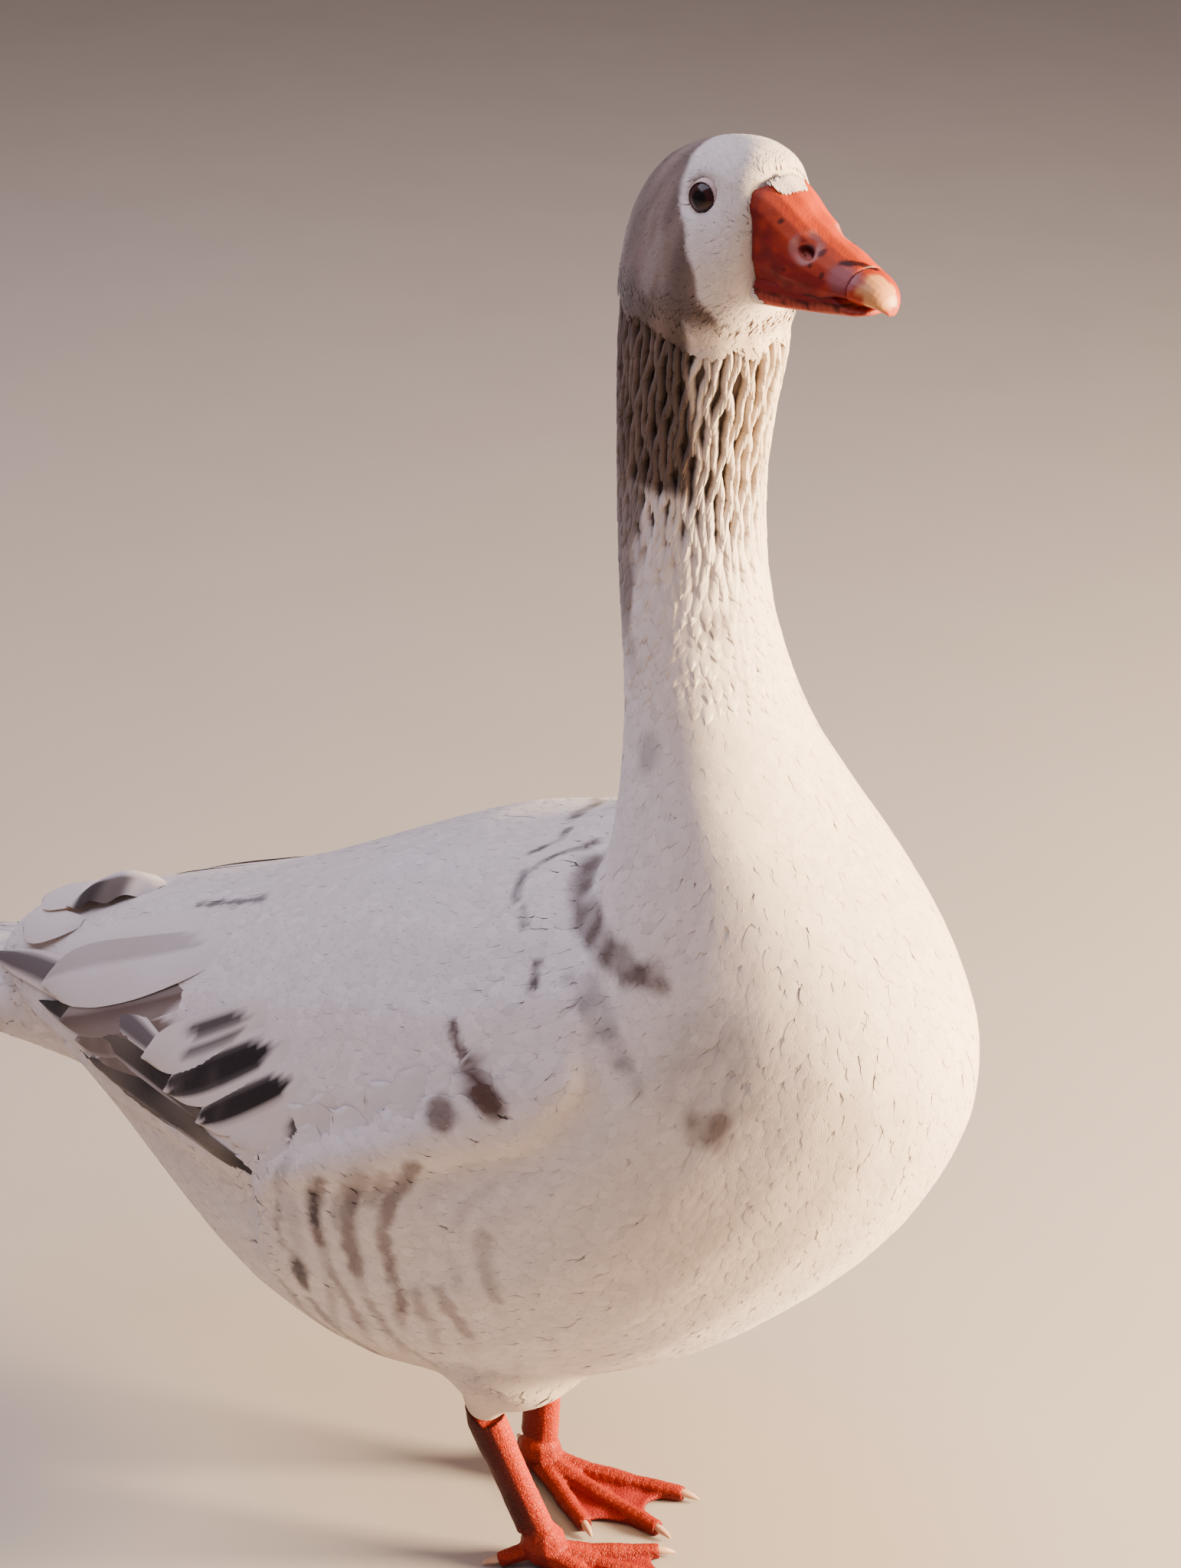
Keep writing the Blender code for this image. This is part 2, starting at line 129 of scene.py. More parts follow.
# %% [markdown]
# ## Camera
# The goose is seen from its right front and a little above: from chest height, about a metre and a half
# away. The long lens keeps the perspective mild.

# %% The camera
VIEW_AZIMUTH = math.radians(35)
VIEW_PITCH = math.radians(24.9)
DISTANCE, CHEST_HEIGHT, FEET_X = 1.6, 1.18, 0.107
camera_data = bpy.data.cameras.new("camera")
camera_data.lens = 82.9
camera_data.sensor_fit = "AUTO"
camera_data.shift_x = 0.018
camera = bpy.data.objects.new("camera", camera_data)
bpy.context.scene.collection.objects.link(camera)
aside, back = DISTANCE * math.sin(VIEW_AZIMUTH), DISTANCE * math.cos(VIEW_AZIMUTH)
camera.location = (FEET_X + aside, -back, CHEST_HEIGHT)
camera.rotation_euler = (math.pi / 2 - VIEW_PITCH, 0, VIEW_AZIMUTH)
bpy.context.scene.camera = camera
print("camera at", tuple(round(v, 3) for v in camera.location))

# %% [markdown]
# ## Studio
# A large plain floor and a pale world are enough for a model seen from above. A low warm light comes from
# the goose's front and left, a broad cool one from overhead, and a faint one from behind draws the back's
# outline.

# %% Floor, world and lights
def deselect():
    for thing in list(bpy.context.selected_objects):
        thing.select_set(False)


deselect()
bpy.ops.mesh.primitive_plane_add(size=14, location=(0, 0, 0))
floor = bpy.context.object
floor.name = "floor"

world = bpy.data.worlds.new("studio")
world.use_nodes = True
background = world.node_tree.nodes["Background"]
background.inputs["Color"].default_value = (1.0, 0.77, 0.79, 1)
background.inputs["Strength"].default_value = 0.22
bpy.context.scene.world = world


def soft_light(name, place, size, power, colour):
    data = bpy.data.lights.new(name, "AREA")
    data.size = size
    data.energy = power
    data.color = colour
    lamp = bpy.data.objects.new(name, data)
    bpy.context.scene.collection.objects.link(lamp)
    lamp.location = place
    lamp.rotation_euler = (CHEST - Vector(place)).to_track_quat("-Z", "Y").to_euler()


CHEST = Vector((0.15, 0, 0.42))
soft_light("key", (1.90, 1.00, 0.80), 0.7, 385, (1.0, 0.72, 0.42))
soft_light("sky", (-0.5, -0.6, 2.9), 2.4, 64, (0.76, 0.76, 1.0))
soft_light("back", (-1.4, 1.2, 2.2), 1.6, 12, (0.95, 0.90, 1.0))

# %% [markdown]
# ## Shader maths as Python
# Node trees read badly as lists of links. One small class wraps a socket, so that an expression such as
# `1 - mask * 0.5` adds its own Math nodes.

# %% A socket that can be added and multiplied
class Value:
    def __init__(self, tree, socket):
        self.tree, self.socket = tree, socket

    def math(self, operation, other=None, swap=False):
        node = self.tree.nodes.new("ShaderNodeMath")
        node.operation = operation
        first, second = (other, self) if swap else (self, other)
        for slot, item in zip(node.inputs, (first, second)):
            feed(self.tree, slot, item)
        return Value(self.tree, node.outputs[0])

    def __add__(self, other):
        return self.math("ADD", other)

    def __radd__(self, other):
        return self.math("ADD", other, True)

    def __sub__(self, other):
        return self.math("SUBTRACT", other)

    def __rsub__(self, other):
        return self.math("SUBTRACT", other, True)

    def __mul__(self, other):
        return self.math("MULTIPLY", other)

    def __rmul__(self, other):
        return self.math("MULTIPLY", other, True)


def feed(tree, socket, item):
    """Links a socket to what feeds it, or sets its value."""
    if isinstance(item, Value):
        tree.links.new(item.socket, socket)
    elif item is not None:
        socket.default_value = item


print("a Value understands +, - and *")

# %% [markdown]
# A material is built by a `Finish`: `node()` adds any node with its settings and inputs, a few short
# methods make the ones used most, and `done()` feeds the sockets of the surface shader.

# %% A material being built
class Finish:
    def __init__(self, name):
        self.material = bpy.data.materials.new(name)
        self.material.use_nodes = True
        self.tree = self.material.node_tree
        self.shader = self.tree.nodes["Principled BSDF"]

    def node(self, kind, settings=(), inputs=(), output=0):
        made = self.tree.nodes.new("ShaderNode" + kind)
        for name, value in dict(settings).items():
            setattr(made, name, value)
        for name, value in dict(inputs).items():
            feed(self.tree, made.inputs[name], value)
        return Value(self.tree, made.outputs[output])

    def place(self):
        return self.node("TexCoord", output="Object")

    def tint(self):
        return self.node("Attribute", {"attribute_name": "tint"}, output="Color")

    def noise(self, scale, detail):
        return self.node("TexNoise", (), {"Vector": self.place(), "Scale": scale, "Detail": detail}, "Fac")

    def blend(self, kind, share, a, b):
        node = self.tree.nodes.new("ShaderNodeMix")
        node.data_type = "RGBA"
        node.blend_type = kind
        for slot, item in zip((0, 6, 7), (share, a, b)):
            feed(self.tree, node.inputs[slot], item)
        return Value(self.tree, node.outputs[2])

    def bump(self, height, distance):
        return self.node("Bump", (), {"Height": height, "Distance": distance, "Strength": 1.0}, "Normal")

    def done(self, **sockets):
        for name, item in sockets.items():
            feed(self.tree, self.shader.inputs[name.replace("_", " ")], item)
        return self.material


floor_finish = Finish("pale floor")
darker, paler = (0.385, 0.355, 0.34, 1), (0.42, 0.39, 0.375, 1)
floor.data.materials.append(floor_finish.done(
    Base_Color=floor_finish.blend("MIX", floor_finish.noise(7.0, 3.0), darker, paler), Roughness=0.8))
print("floor finish has", len(floor_finish.tree.nodes), "nodes")

# %% [markdown]
# ## The goose's colours
# A white goose with the grey-brown pied markings of farm breeds: a brown hood and nape, grey bars on the
# flank, blackish bands on the flight feathers. Colours are mixed as screen values and turned into the
# linear ones that light needs.

# %% Palette
def screen(r, g, b):
    return np.array([(c / 255 / 12.92) if c < 10 else ((c / 255 + 0.055) / 1.055) ** 2.4
                     for c in (r, g, b)])


WHITE = screen(238, 228, 224)
CREAM = screen(234, 214, 188)
HOOD = screen(128, 104, 92)
HOOD_DARK = screen(80, 59, 48)
# Painted shade: the brown given to the neck's grooves in place of the shadow in them.
GROOVE_SHADE = screen(104, 72, 48)
SMUDGE = screen(150, 142, 142)
SLATE = screen(98, 90, 92)
BAND = screen(58, 44, 42)
BLACK = screen(34, 25, 27)
BAR = screen(96, 78, 74)
WING_BROWN = screen(84, 56, 46)
DUSKY = screen(150, 134, 126)
# A dark brown for painted shadows under the flank's rear edge and under the top tertials.
SHADE_BROWN = screen(104, 80, 68)
print("white reflects", WHITE.round(2))

# %% [markdown]
# ## Markings
# The pied pattern could be painted by hand on a map, but thousands of feathers would have to agree with it.
# Here skin and feathers take their colour from one function of place. Each mark is a soft shape on the
# body, given in millimetres: a ball, or a stroke along a few points. Noise makes its edge ragged.

# %% Shapes for marks
FROM_THE_SIDE = np.array([1, 0.15, 1])


def ball(points, centre, reach):
    """1 at the centre, 0 beyond the reach along x, y and z."""
    away = np.linalg.norm((points - np.array(centre) * MM) / (np.array(reach) * MM), axis=1)
    return 1 - step_up(away, 0.45, 1.0)


def stroke(points, course, width):
    """1 along a course of places, 0 more than a width from it."""
    course = np.array(course) * MM
    nearest = np.full(len(points), 9.0)
    for a, b in zip(course, course[1:]):
        share = np.clip((points - a) @ (b - a) / ((b - a) @ (b - a)), 0, 1)
        nearest = np.minimum(nearest, np.linalg.norm(points - a - share[:, None] * (b - a), axis=1))
    return 1 - step_up(nearest, width * MM * 0.35, width * MM)


def side_stroke(points, course, width):
    """A stroke that hardly minds how far out from the body a point is."""
    return stroke(points * FROM_THE_SIDE, np.array(course) * FROM_THE_SIDE, width)


def both_sides(points):
    """The points folded onto the goose's right side."""
    folded = points.copy()
    folded[:, 1] = -np.abs(points[:, 1])
    return folded


def jitter(points, amount, size, seed):
    """Shifts that make a mark's edge ragged."""
    return amount * np.stack([waves(points, size, seed + i) for i in range(3)], axis=1)


print("a ball's share at its middle:", ball(np.zeros((1, 3)), (0, 0, 0), (1, 1, 1))[0])

# %% [markdown]
# The brown hood starts behind the eye and runs down the nape. Its front edge leans back towards the
# crown, and noise makes it ragged. Below it a few streaks run on down the back of the neck.

# %% The hood and the nape
def hood_share(points):
    """The brown hood behind the eyes and cheeks, and the nape down to the middle of the neck."""
    x, z = points[:, 0], points[:, 2]
    front = 12 * MM + (CROWN_Z - 8 * MM - z) * 0.36 + 2.2 * MM * waves(points, 9 * MM, 3)
    front -= 5 * MM * hump(z - CROWN_Z, -23 * MM, 10 * MM)
    hood = step_up(front - straight(points)[:, 0], -1.5 * MM, 1.5 * MM) * step_up(z, 0.690, 0.702)
    nape_edge = 0.199 + 1.6 * MM * waves(points, 14 * MM, 5)
    nape = step_up(nape_edge - x, -3 * MM, 3 * MM) * step_up(z, 0.611, 0.618) * (z < 0.702)
    streak_edge = 0.172 + 7 * MM * waves(points * [1, 1, 0.35], 8 * MM, 7)
    streaks = step_up(streak_edge - x, -3 * MM, 3 * MM) * step_up(z, 0.515, 0.56) * (z < 0.62) * 0.85
    return np.maximum(np.maximum(hood, nape), streaks)


def hood_colour(points):
    """Brown with darker patches, dark below, and a paler stroke behind the eye."""
    dark = 0.25 + 0.5 * waves(points * [1, 1, 0.5], 9 * MM, 51)
    dark = dark + 0.6 * step_up(0.722 - points[:, 2], 0, 0.025)
    pale = stroke(both_sides(points), [(172, -36, 742), (180, -36, 716)], 13)
    pale = pale * (0.45 + 0.5 * waves(points * [1, 1, 0.4], 6 * MM, 55))
    return layered(HOOD, [(HOOD_DARK, np.clip(dark, 0, 1)), (DUSKY, np.clip(pale, 0, 0.7))])


print("hood at the nape:", hood_share(np.array([[0.15, 0, 0.65]])).round(2)[0])

# %% [markdown]
# The larger marks are courses of places on the right side, in millimetres. The flank's feathers have grey
# bands near their ends, which line up into bars, each with a width and a strength. The shoulder's white
# feathers have thin dark rims, each with a width.

# %% Courses of the marks
CRESCENT = [(153, -41, 422), (158, -52, 418), (163, -62, 415), (176, -74, 413),
            (190, -84, 408), (207, -89, 402), (219, -89, 402)]
WING_STREAK = [(126, -119, 361), (143, -126, 347), (158, -131, 334)]
SHOULDER_GREY = [(186, -96, 395), (202, -101, 375), (222, -99, 352)]
BARS = [
    ([(27, -124, 236), (24, -122, 222), (25, -120, 208)], 4.0, 0.55),
    ([(36, -126, 246), (36, -124, 216)], 9.0, 0.25),
    ([(62, -133, 266), (54, -130, 253), (51, -128, 238), (52, -126, 222)], 6.0, 0.95),
    ([(75, -134, 268), (67, -130, 252), (65, -128, 238)], 5.0, 0.50),
    ([(88, -135, 276), (77, -131, 257), (72, -129, 243), (71, -126, 211)], 8.0, 0.80),
    ([(101, -136, 283), (90, -132, 262)], 6.0, 0.65),
    ([(117, -136, 291), (101, -133, 266), (94, -131, 246), (94, -128, 214)], 6.5, 0.75),
    ([(97, -125, 208), (95, -121, 194)], 6.0, 0.90),
    ([(53, -124, 208), (59, -121, 190), (60, -110, 166)], 5.5, 0.60),
    ([(11, -110, 176), (14, -101, 154), (22, -80, 131)], 5.0, 0.50),
    ([(28, -109, 168), (36, -95, 144), (50, -75, 128)], 5.5, 0.60),
    ([(74, -120, 190), (79, -111, 169), (92, -94, 146)], 5.5, 0.55),
    ([(108, -126, 210), (107, -120, 193)], 7.0, 0.50),
    ([(122, -127, 217), (130, -115, 190)], 7.0, 0.55),
    ([(152, -129, 262), (151, -127, 244), (154, -124, 225)], 7.5, 0.45),
]
LACES = [
    ([(145, -25, 428), (143, -34, 427), (135, -41, 425)], 3.6),
    ([(132, -43, 423), (128, -47, 420), (126, -51, 418)], 3.4),
    ([(122, -53, 416), (124, -61, 413), (129, -71, 409)], 4.2),
    ([(136, -75, 409), (144, -84, 406)], 3.4),
    ([(160, -96, 396), (163, -104, 388)], 4.0),
]
DARK_BAR = [(55, -131, 252), (51, -129, 237)]
DARK_SPOT = [(33, -121, 202), (30, -114, 181)]
# FLANK_END is the course of a painted shadow under the flank feathers' rear edge.
FLANK_END = [(10, -118, 212), (3, -114, 196), (0, -108, 180)]
BACK_LINE = [(-104, -31, 324), (-80, -34, 332), (-54, -38, 344)]
CENTRE_LACE = [
    ([(92, 52, 407), (104, 36, 413)], 5.0),
    ([(107, 30, 415), (109, 13, 419), (113, 2, 421)], 5.6),
    ([(120, -14, 422), (123, -25, 422), (114, -36, 417)], 3.6),
]
print(len(BARS), "bars and", len(LACES) + len(CENTRE_LACE), "rims")

# %% [markdown]
# Between the bars fainter arcs repeat across the whole flank. Noise breaks them up.

# %% Bars and rims
def flank_bars(points):
    """Grey bars that run down the flank, the dark bands near its feathers' ends."""
    ragged = points + jitter(points, 1.2 * MM, 6 * MM, 71)
    share = np.zeros(len(points))
    for course, width, strength in BARS:
        share = np.maximum(share, side_stroke(ragged, course, 0.95 * width) * strength)
    x, z = points[:, 0], points[:, 2]
    lean = x - 11 * np.clip(z - 0.243, 0, 1) ** 2 + 0.30 * np.clip(0.195 - z, 0, 1)
    lean = lean + 1.5 * MM * waves(points, 30 * MM, 11)
    arcs = step_up(0.5 + 0.5 * np.cos(math.tau * (lean - 0.031) / 0.0205), 0.45, 0.95)
    inside = step_up(x, 0.012, 0.030) * (1 - step_up(x, 0.130, 0.190)) * step_up(z, 0.135, 0.165)
    inside *= 1 - step_up(z - 0.32 * x, 0.246, 0.262)
    broken = np.clip(0.55 + 0.75 * waves(points, 22 * MM, 13), 0, 1) * (1 - 0.6 * step_up(x, 0.085, 0.120))
    share = np.maximum(share, arcs * inside * 0.58 * broken)
    return share * np.clip(0.95 + 0.25 * waves(points * [1, 1, 0.5], 9 * MM, 12), 0.4, 1)


def shoulder_lines(points):
    """Thin broken rims of the white shoulder feathers."""
    side = both_sides(points)
    share = np.zeros(len(points))
    for course, width in LACES:
        share = np.maximum(share, stroke(side, course, width))
    for course, width in CENTRE_LACE:
        share = np.maximum(share, stroke(points, course, width))
    return share * np.clip(0.85 + 0.4 * waves(points, 7 * MM, 75), 0.3, 1)


print("a bar's strength:", flank_bars(np.array([[0.054, -0.130, 0.253]])).round(2)[0])

# %% [markdown]
# All marks together: first the cream of the breast and the throat, the brown painted shade in the throat's
# furrows and the painted shade under the belly, then the bars and rims, then the dark marks of shoulder,
# wing and flank with a painted shadow under the flank's rear edge, and last the hood.

# %% The colour of the coat
def soft_tones(points):
    """Cream on the breast and throat, painted brown shade in the throat's furrows, dull cream painted shade
    under the belly.
    """
    z = points[:, 2]
    tone = np.clip(0.5 + 0.4 * waves(points, 60 * MM, 20), 0, 1)
    front = step_up(points[:, 0], 0.17, 0.24) * step_up(z, 0.16, 0.3)
    throat = step_up(z, 0.60, 0.63) * (1 - step_up(z, 0.690, 0.70))
    throat_groove_shade = np.clip(waves(points * [1, 1, 0.4], 5 * MM, 23), 0, 1)
    return [(CREAM, front * 0.35 + 0.10 * tone), (CREAM, throat * 0.6), (GROOVE_SHADE, throat * 0.35 * throat_groove_shade),
            # Painted shade: the plumage under the belly is a duller, darker cream.
            (CREAM * 0.72, (1 - step_up(z, 0.135, 0.165)) * 0.60)]


def coat_colour(points):
    """The plumage colour at each point: marks laid one over the other on white."""
    side = both_sides(points)
    ragged = side + jitter(points, 2.0 * MM, 8 * MM, 31)
    mottle = np.clip(0.80 + 0.4 * waves(points, 8 * MM, 41), 0.5, 1)
    return layered(WHITE, soft_tones(points) + [
        (BAR, flank_bars(side)),
        (BAND, shoulder_lines(points) * 0.9),
        # A painted shadow under the flank's rear edge.
        (SHADE_BROWN, stroke(side, FLANK_END, 3.4) * 0.8),
        (HOOD_DARK, stroke(ragged, CRESCENT, 11.5) * mottle * 0.9),
        (SLATE, stroke(ragged, SHOULDER_GREY, 10) * mottle * 0.62),
        (SLATE, ball(ragged, (254, -90, 362), (36, 30, 44)) * mottle * 0.35),
        (HOOD_DARK, ball(ragged, (257, -96, 339), (17, 15, 13)) * mottle * 0.7),
        (WING_BROWN, stroke(ragged, WING_STREAK, 6.0) * 0.9),
        (WING_BROWN, stroke(ragged, WING_STREAK[1:], 10.0) * 0.9),
        (WING_BROWN, ball(ragged, (132, -137, 324), (13, 25, 9)) * 0.8),
        (BAND, side_stroke(ragged, DARK_BAR, 6.0) * 0.85),
        (BAND, side_stroke(ragged, DARK_SPOT, 6.0) * 0.85),
        (SLATE * 0.8, stroke(ragged, BACK_LINE, 4.5) * 0.85),
        (SMUDGE, ball(points, (210, -25, 553), (8, 14, 9)) * 0.7),
        (SMUDGE, ball(points, (189, -48, 493), (9, 14, 14)) * 0.5),
        (hood_colour(points), hood_share(points) * 0.95)])


print("coat at the nape", coat_colour(np.array([[0.15, 0, 0.65]])).round(2))

# %% [markdown]
# ## Working on meshes
# A few short helpers: read and move all vertices at once, paint them with a colour that materials read as
# `tint`, apply a modifier, and copy a solid of the construction model.

# %% Helpers for meshes
def activate(*things):
    deselect()
    for thing in things:
        thing.select_set(True)
    bpy.context.view_layer.objects.active = things[0]


def joined(things):
    activate(*things)
    bpy.ops.object.join()
    return bpy.context.object


def edit_all(thing, *steps):
    """Runs steps on the whole mesh in edit mode."""
    activate(thing)
    bpy.ops.object.mode_set(mode="EDIT")
    bpy.ops.mesh.select_all(action="SELECT")
    for step in steps:
        step()
    bpy.ops.object.mode_set(mode="OBJECT")


def apply_modifier(thing, kind, **settings):
    activate(thing)
    made = thing.modifiers.new(kind.lower(), kind)
    for name, value in settings.items():
        setattr(made, name, value)
    bpy.ops.object.modifier_apply(modifier=made.name)


def places_of(thing):
    found = np.empty(len(thing.data.vertices) * 3)
    thing.data.vertices.foreach_get("co", found)
    return found.reshape(-1, 3)


def normals_of(thing):
    found = np.empty(len(thing.data.vertices) * 3)
    thing.data.vertex_normals.foreach_get("vector", found)
    return found.reshape(-1, 3)


def move_vertices(thing, places):
    thing.data.vertices.foreach_set("co", places.ravel())
    thing.data.update()


def paint(thing, colours):
    tint = thing.data.attributes.new("tint", "FLOAT_COLOR", "POINT")
    tint.data.foreach_set("color", np.concatenate([colours, np.ones((len(colours), 1))], axis=1).ravel())


print("mesh helpers ready")

# %% [markdown]
# The construction's solids are loose triangles that already point outwards. They stay as they are, and a
# copy is welded before anything else is done to it. Growing a copy a little lets neighbours overlap.

# %% Copies of construction solids
def copy_of(node, name):
    """A copy of a construction solid, with its loose triangles welded."""
    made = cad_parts[node].copy()
    made.data = made.data.copy()
    made.parent = None
    made.name = name
    for key in list(made.keys()):
        del made[key]
    bpy.context.scene.collection.objects.link(made)
    made.data.materials.clear()
    edit_all(made, lambda: bpy.ops.mesh.remove_doubles(threshold=0.02 * MM),
             bpy.ops.mesh.customdata_custom_splitnormals_clear)
    made.data.shade_smooth()
    return made


def grown_copies(nodes, name, grow):
    copies = [copy_of(node, f"{name}_{node}") for node in nodes]
    for part in copies:
        move_vertices(part, places_of(part) + normals_of(part) * grow)
    return copies


print(len(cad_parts), "construction solids to copy from")

# %% [markdown]
# ## One skin
# The head, neck, trunk, wings, tail and thighs are separate solids with hairline gaps, and a live goose
# has one skin. A boolean union would keep the creases between them. So copies are grown by half a
# millimetre, joined and remeshed as one closed surface, then relaxed, most of all round the trunk.

# %% Join the flesh into one surface
FLESH = ["head", "neck_upper", "neck_lower", "trunk", "wing_left", "wing_right", "tail",
         "thigh_left", "thigh_right"]
SKIN_VOXEL = 3.0 * MM
skin = joined(grown_copies(FLESH, "flesh", 0.5 * MM))
skin.name = "skin"
apply_modifier(skin, "REMESH", mode="VOXEL", voxel_size=SKIN_VOXEL)
apply_modifier(skin, "SMOOTH", factor=0.5, iterations=8)
relaxed = skin.vertex_groups.new(name="relaxed")
for index, (x, _, z) in enumerate(places_of(skin).tolist()):
    if z < 0.46 and x > -0.20:
        relaxed.add([index], 1.0, "REPLACE")
apply_modifier(skin, "SMOOTH", factor=0.5, iterations=40, vertex_group="relaxed")
skin.vertex_groups.clear()
print("skin has", len(skin.data.polygons), "faces")

# %% [markdown]
# The coat's depth is taken off this surface along its normals, so that the feathers' tips and not the skin
# give the goose its outline. The coat is thin on the face, deeper on the neck and trunk.

# %% How deep the coat is
def coat_depth(points):
    """How far the feathers' outer surface stands over the skin."""
    x, z = points[:, 0], points[:, 2]
    depth = np.full(len(points), 3.4 * MM)
    depth = toward(depth, 4.2 * MM, step_up(z, 0.52, 0.60))
    depth = toward(depth, 1.1 * MM, step_up(z, 0.684, 0.714))
    near_bill = step_up(straight(points)[:, 0], 34 * MM, 46 * MM) * step_up(z, 0.69, 0.70)
    depth = toward(depth, 0.5 * MM, near_bill)
    near_tail = (1 - step_up(x, -0.27, -0.20)) * (1 - step_up(z, 0.24, 0.27))
    depth = toward(depth, 1.6 * MM, near_tail)
    near_leg = (1 - step_up(z, 0.095, 0.135)) * step_up(x, 0.02, 0.05)
    return toward(depth, 2.6 * MM, near_leg)


depth = coat_depth(places_of(skin)) / MM
print("coat depth from", depth.min().round(1), "to", depth.max().round(1), "mm")

# %% [markdown]
# The flank's feathers swell over the folded wing like a pillow, and their upper and rear edge stands out
# further still. Behind them the wing's lower edge stands over the rump.

# %% Flank and wing edges
FLANK_EDGE_X = np.array([0.010, 0.026, 0.066, 0.103, 0.134, 0.165, 0.185, 0.215])
FLANK_EDGE_Z = np.array([0.242, 0.258, 0.286, 0.306, 0.325, 0.345, 0.364, 0.388])
WING_EDGE_X = [-0.235, -0.129, -0.059, 0.020]
WING_EDGE_Z = [0.240, 0.236, 0.233, 0.232]


def flank_rise(points):
    """How far the flank swells."""
    x, z = points[:, 0], points[:, 2]
    under = np.interp(x, FLANK_EDGE_X, FLANK_EDGE_Z) - z
    edge = step_up(under, -8 * MM, 10 * MM) * (1 - step_up(under, 20 * MM, 100 * MM))
    rear = 2 * MM + 8 * MM * step_up(z, 0.19, 0.24)
    return 7.5 * MM * edge * step_up(x, rear - 6 * MM, rear + 6 * MM) * (1 - step_up(x, 0.08, 0.155))


def flank_overlap(points):
    """How much further the feathers at the flank's upper and rear edge stand out."""
    x, z = points[:, 0], points[:, 2]
    under = np.interp(x, FLANK_EDGE_X, FLANK_EDGE_Z) - z
    top = step_up(under, 0, 7 * MM) * (1 - step_up(under, 16 * MM, 55 * MM)) * step_up(x, 0.012, 0.022)
    rear = step_up(x, 0.014, 0.024) * (1 - step_up(x, 0.040, 0.075)) * step_up(z, 0.16, 0.19) * (under > 0)
    outward_facing = step_up(np.abs(points[:, 1]), 0.06, 0.10)
    return 1.0 * MM * np.maximum(top, rear) * (1 - step_up(x, 0.15, 0.20)) * outward_facing


def wing_edge_rise(points):
    """How far the folded wing's lower edge stands over the rump behind the flank."""
    x, z = points[:, 0], points[:, 2]
    over = z - np.interp(x, WING_EDGE_X, WING_EDGE_Z)
    fade = (1 - step_up(over, 20 * MM, 70 * MM)) * step_up(over, -3 * MM, 3 * MM)
    return 3.0 * MM * fade * step_up(x, -0.22, -0.15) * (1 - step_up(x, 0.01, 0.03))


print("the flank swells by up to", (flank_rise(places_of(skin)).max() / MM).round(1), "mm")

# %% [markdown]
# Round each eye the skin dips, so the eyeball sits in it under a brow, and the cheek swells below and
# behind.

# %% Shape the face and the sides
EYES = {word: sum(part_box(f"eye_{word}"), Vector()) / 2 for word in ("left", "right")}
EYE_RADIUS = (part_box("eye_left")[1].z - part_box("eye_left")[0].z) / 2


def face_relief(points):
    """The dip round the eye and the brow and cheek beside it."""
    lift = np.zeros(len(points))
    for centre in EYES.values():
        away = points - np.array(centre)
        lift -= 1.8 * MM * hump(np.linalg.norm(away * [1, 0.6, 1], axis=1), 0, 9.5 * MM)
        brow = away - np.array([6 * MM, 0, 11 * MM])
        lift += 1.5 * MM * hump(np.linalg.norm(brow * [0.6, 0.6, 1.6], axis=1), 0, 8 * MM)
    cheek = both_sides(straight(points)) - np.array([24 * MM, -30 * MM, 0.722])
    lift += 1.2 * MM * hump(np.linalg.norm(cheek * [0.8, 0.7, 0.7], axis=1), 0, 15 * MM)
    around = step_up(straight(points)[:, 0], -25 * MM, 5 * MM)
    lift += 1.4 * MM * around * hump(points[:, 2], 0.7035, 9 * MM)
    lift -= 0.9 * MM * around * hump(points[:, 2], 0.6880, 4 * MM)
    return lift


outer, outward = places_of(skin), normals_of(skin)
sideways = step_up(np.abs(outward[:, 1]), 0.15, 0.6)
inset = coat_depth(outer) - face_relief(outer)
inset -= (flank_rise(outer) + wing_edge_rise(outer)) * sideways
move_vertices(skin, outer - outward * inset[:, None])
apply_modifier(skin, "SMOOTH", factor=0.5, iterations=2)
print("the skin lies up to", (inset.max() / MM).round(1), "mm inside the outline")

# %% [markdown]
# The bake needs a map of the skin in which no two places share a spot. Blender cuts the skin where it
# bends most and lays the pieces flat. Feathers later take their spot from the skin at their root.

# %% Unwrap the skin
edit_all(skin, lambda: skin.data.uv_layers.new(name="OFBake"),
         lambda: bpy.ops.uv.smart_project(angle_limit=math.radians(66), island_margin=0.001))
deselect()
print("maps on the skin:", [layer.name for layer in skin.data.uv_layers])

# %% [markdown]
# ## Finding the skin
# A feather is laid out flat on the skin's plane at its root, and then each of its points is dropped onto
# the skin. `Surface` does that for many points at once and gives the smooth normal and the map spot there.

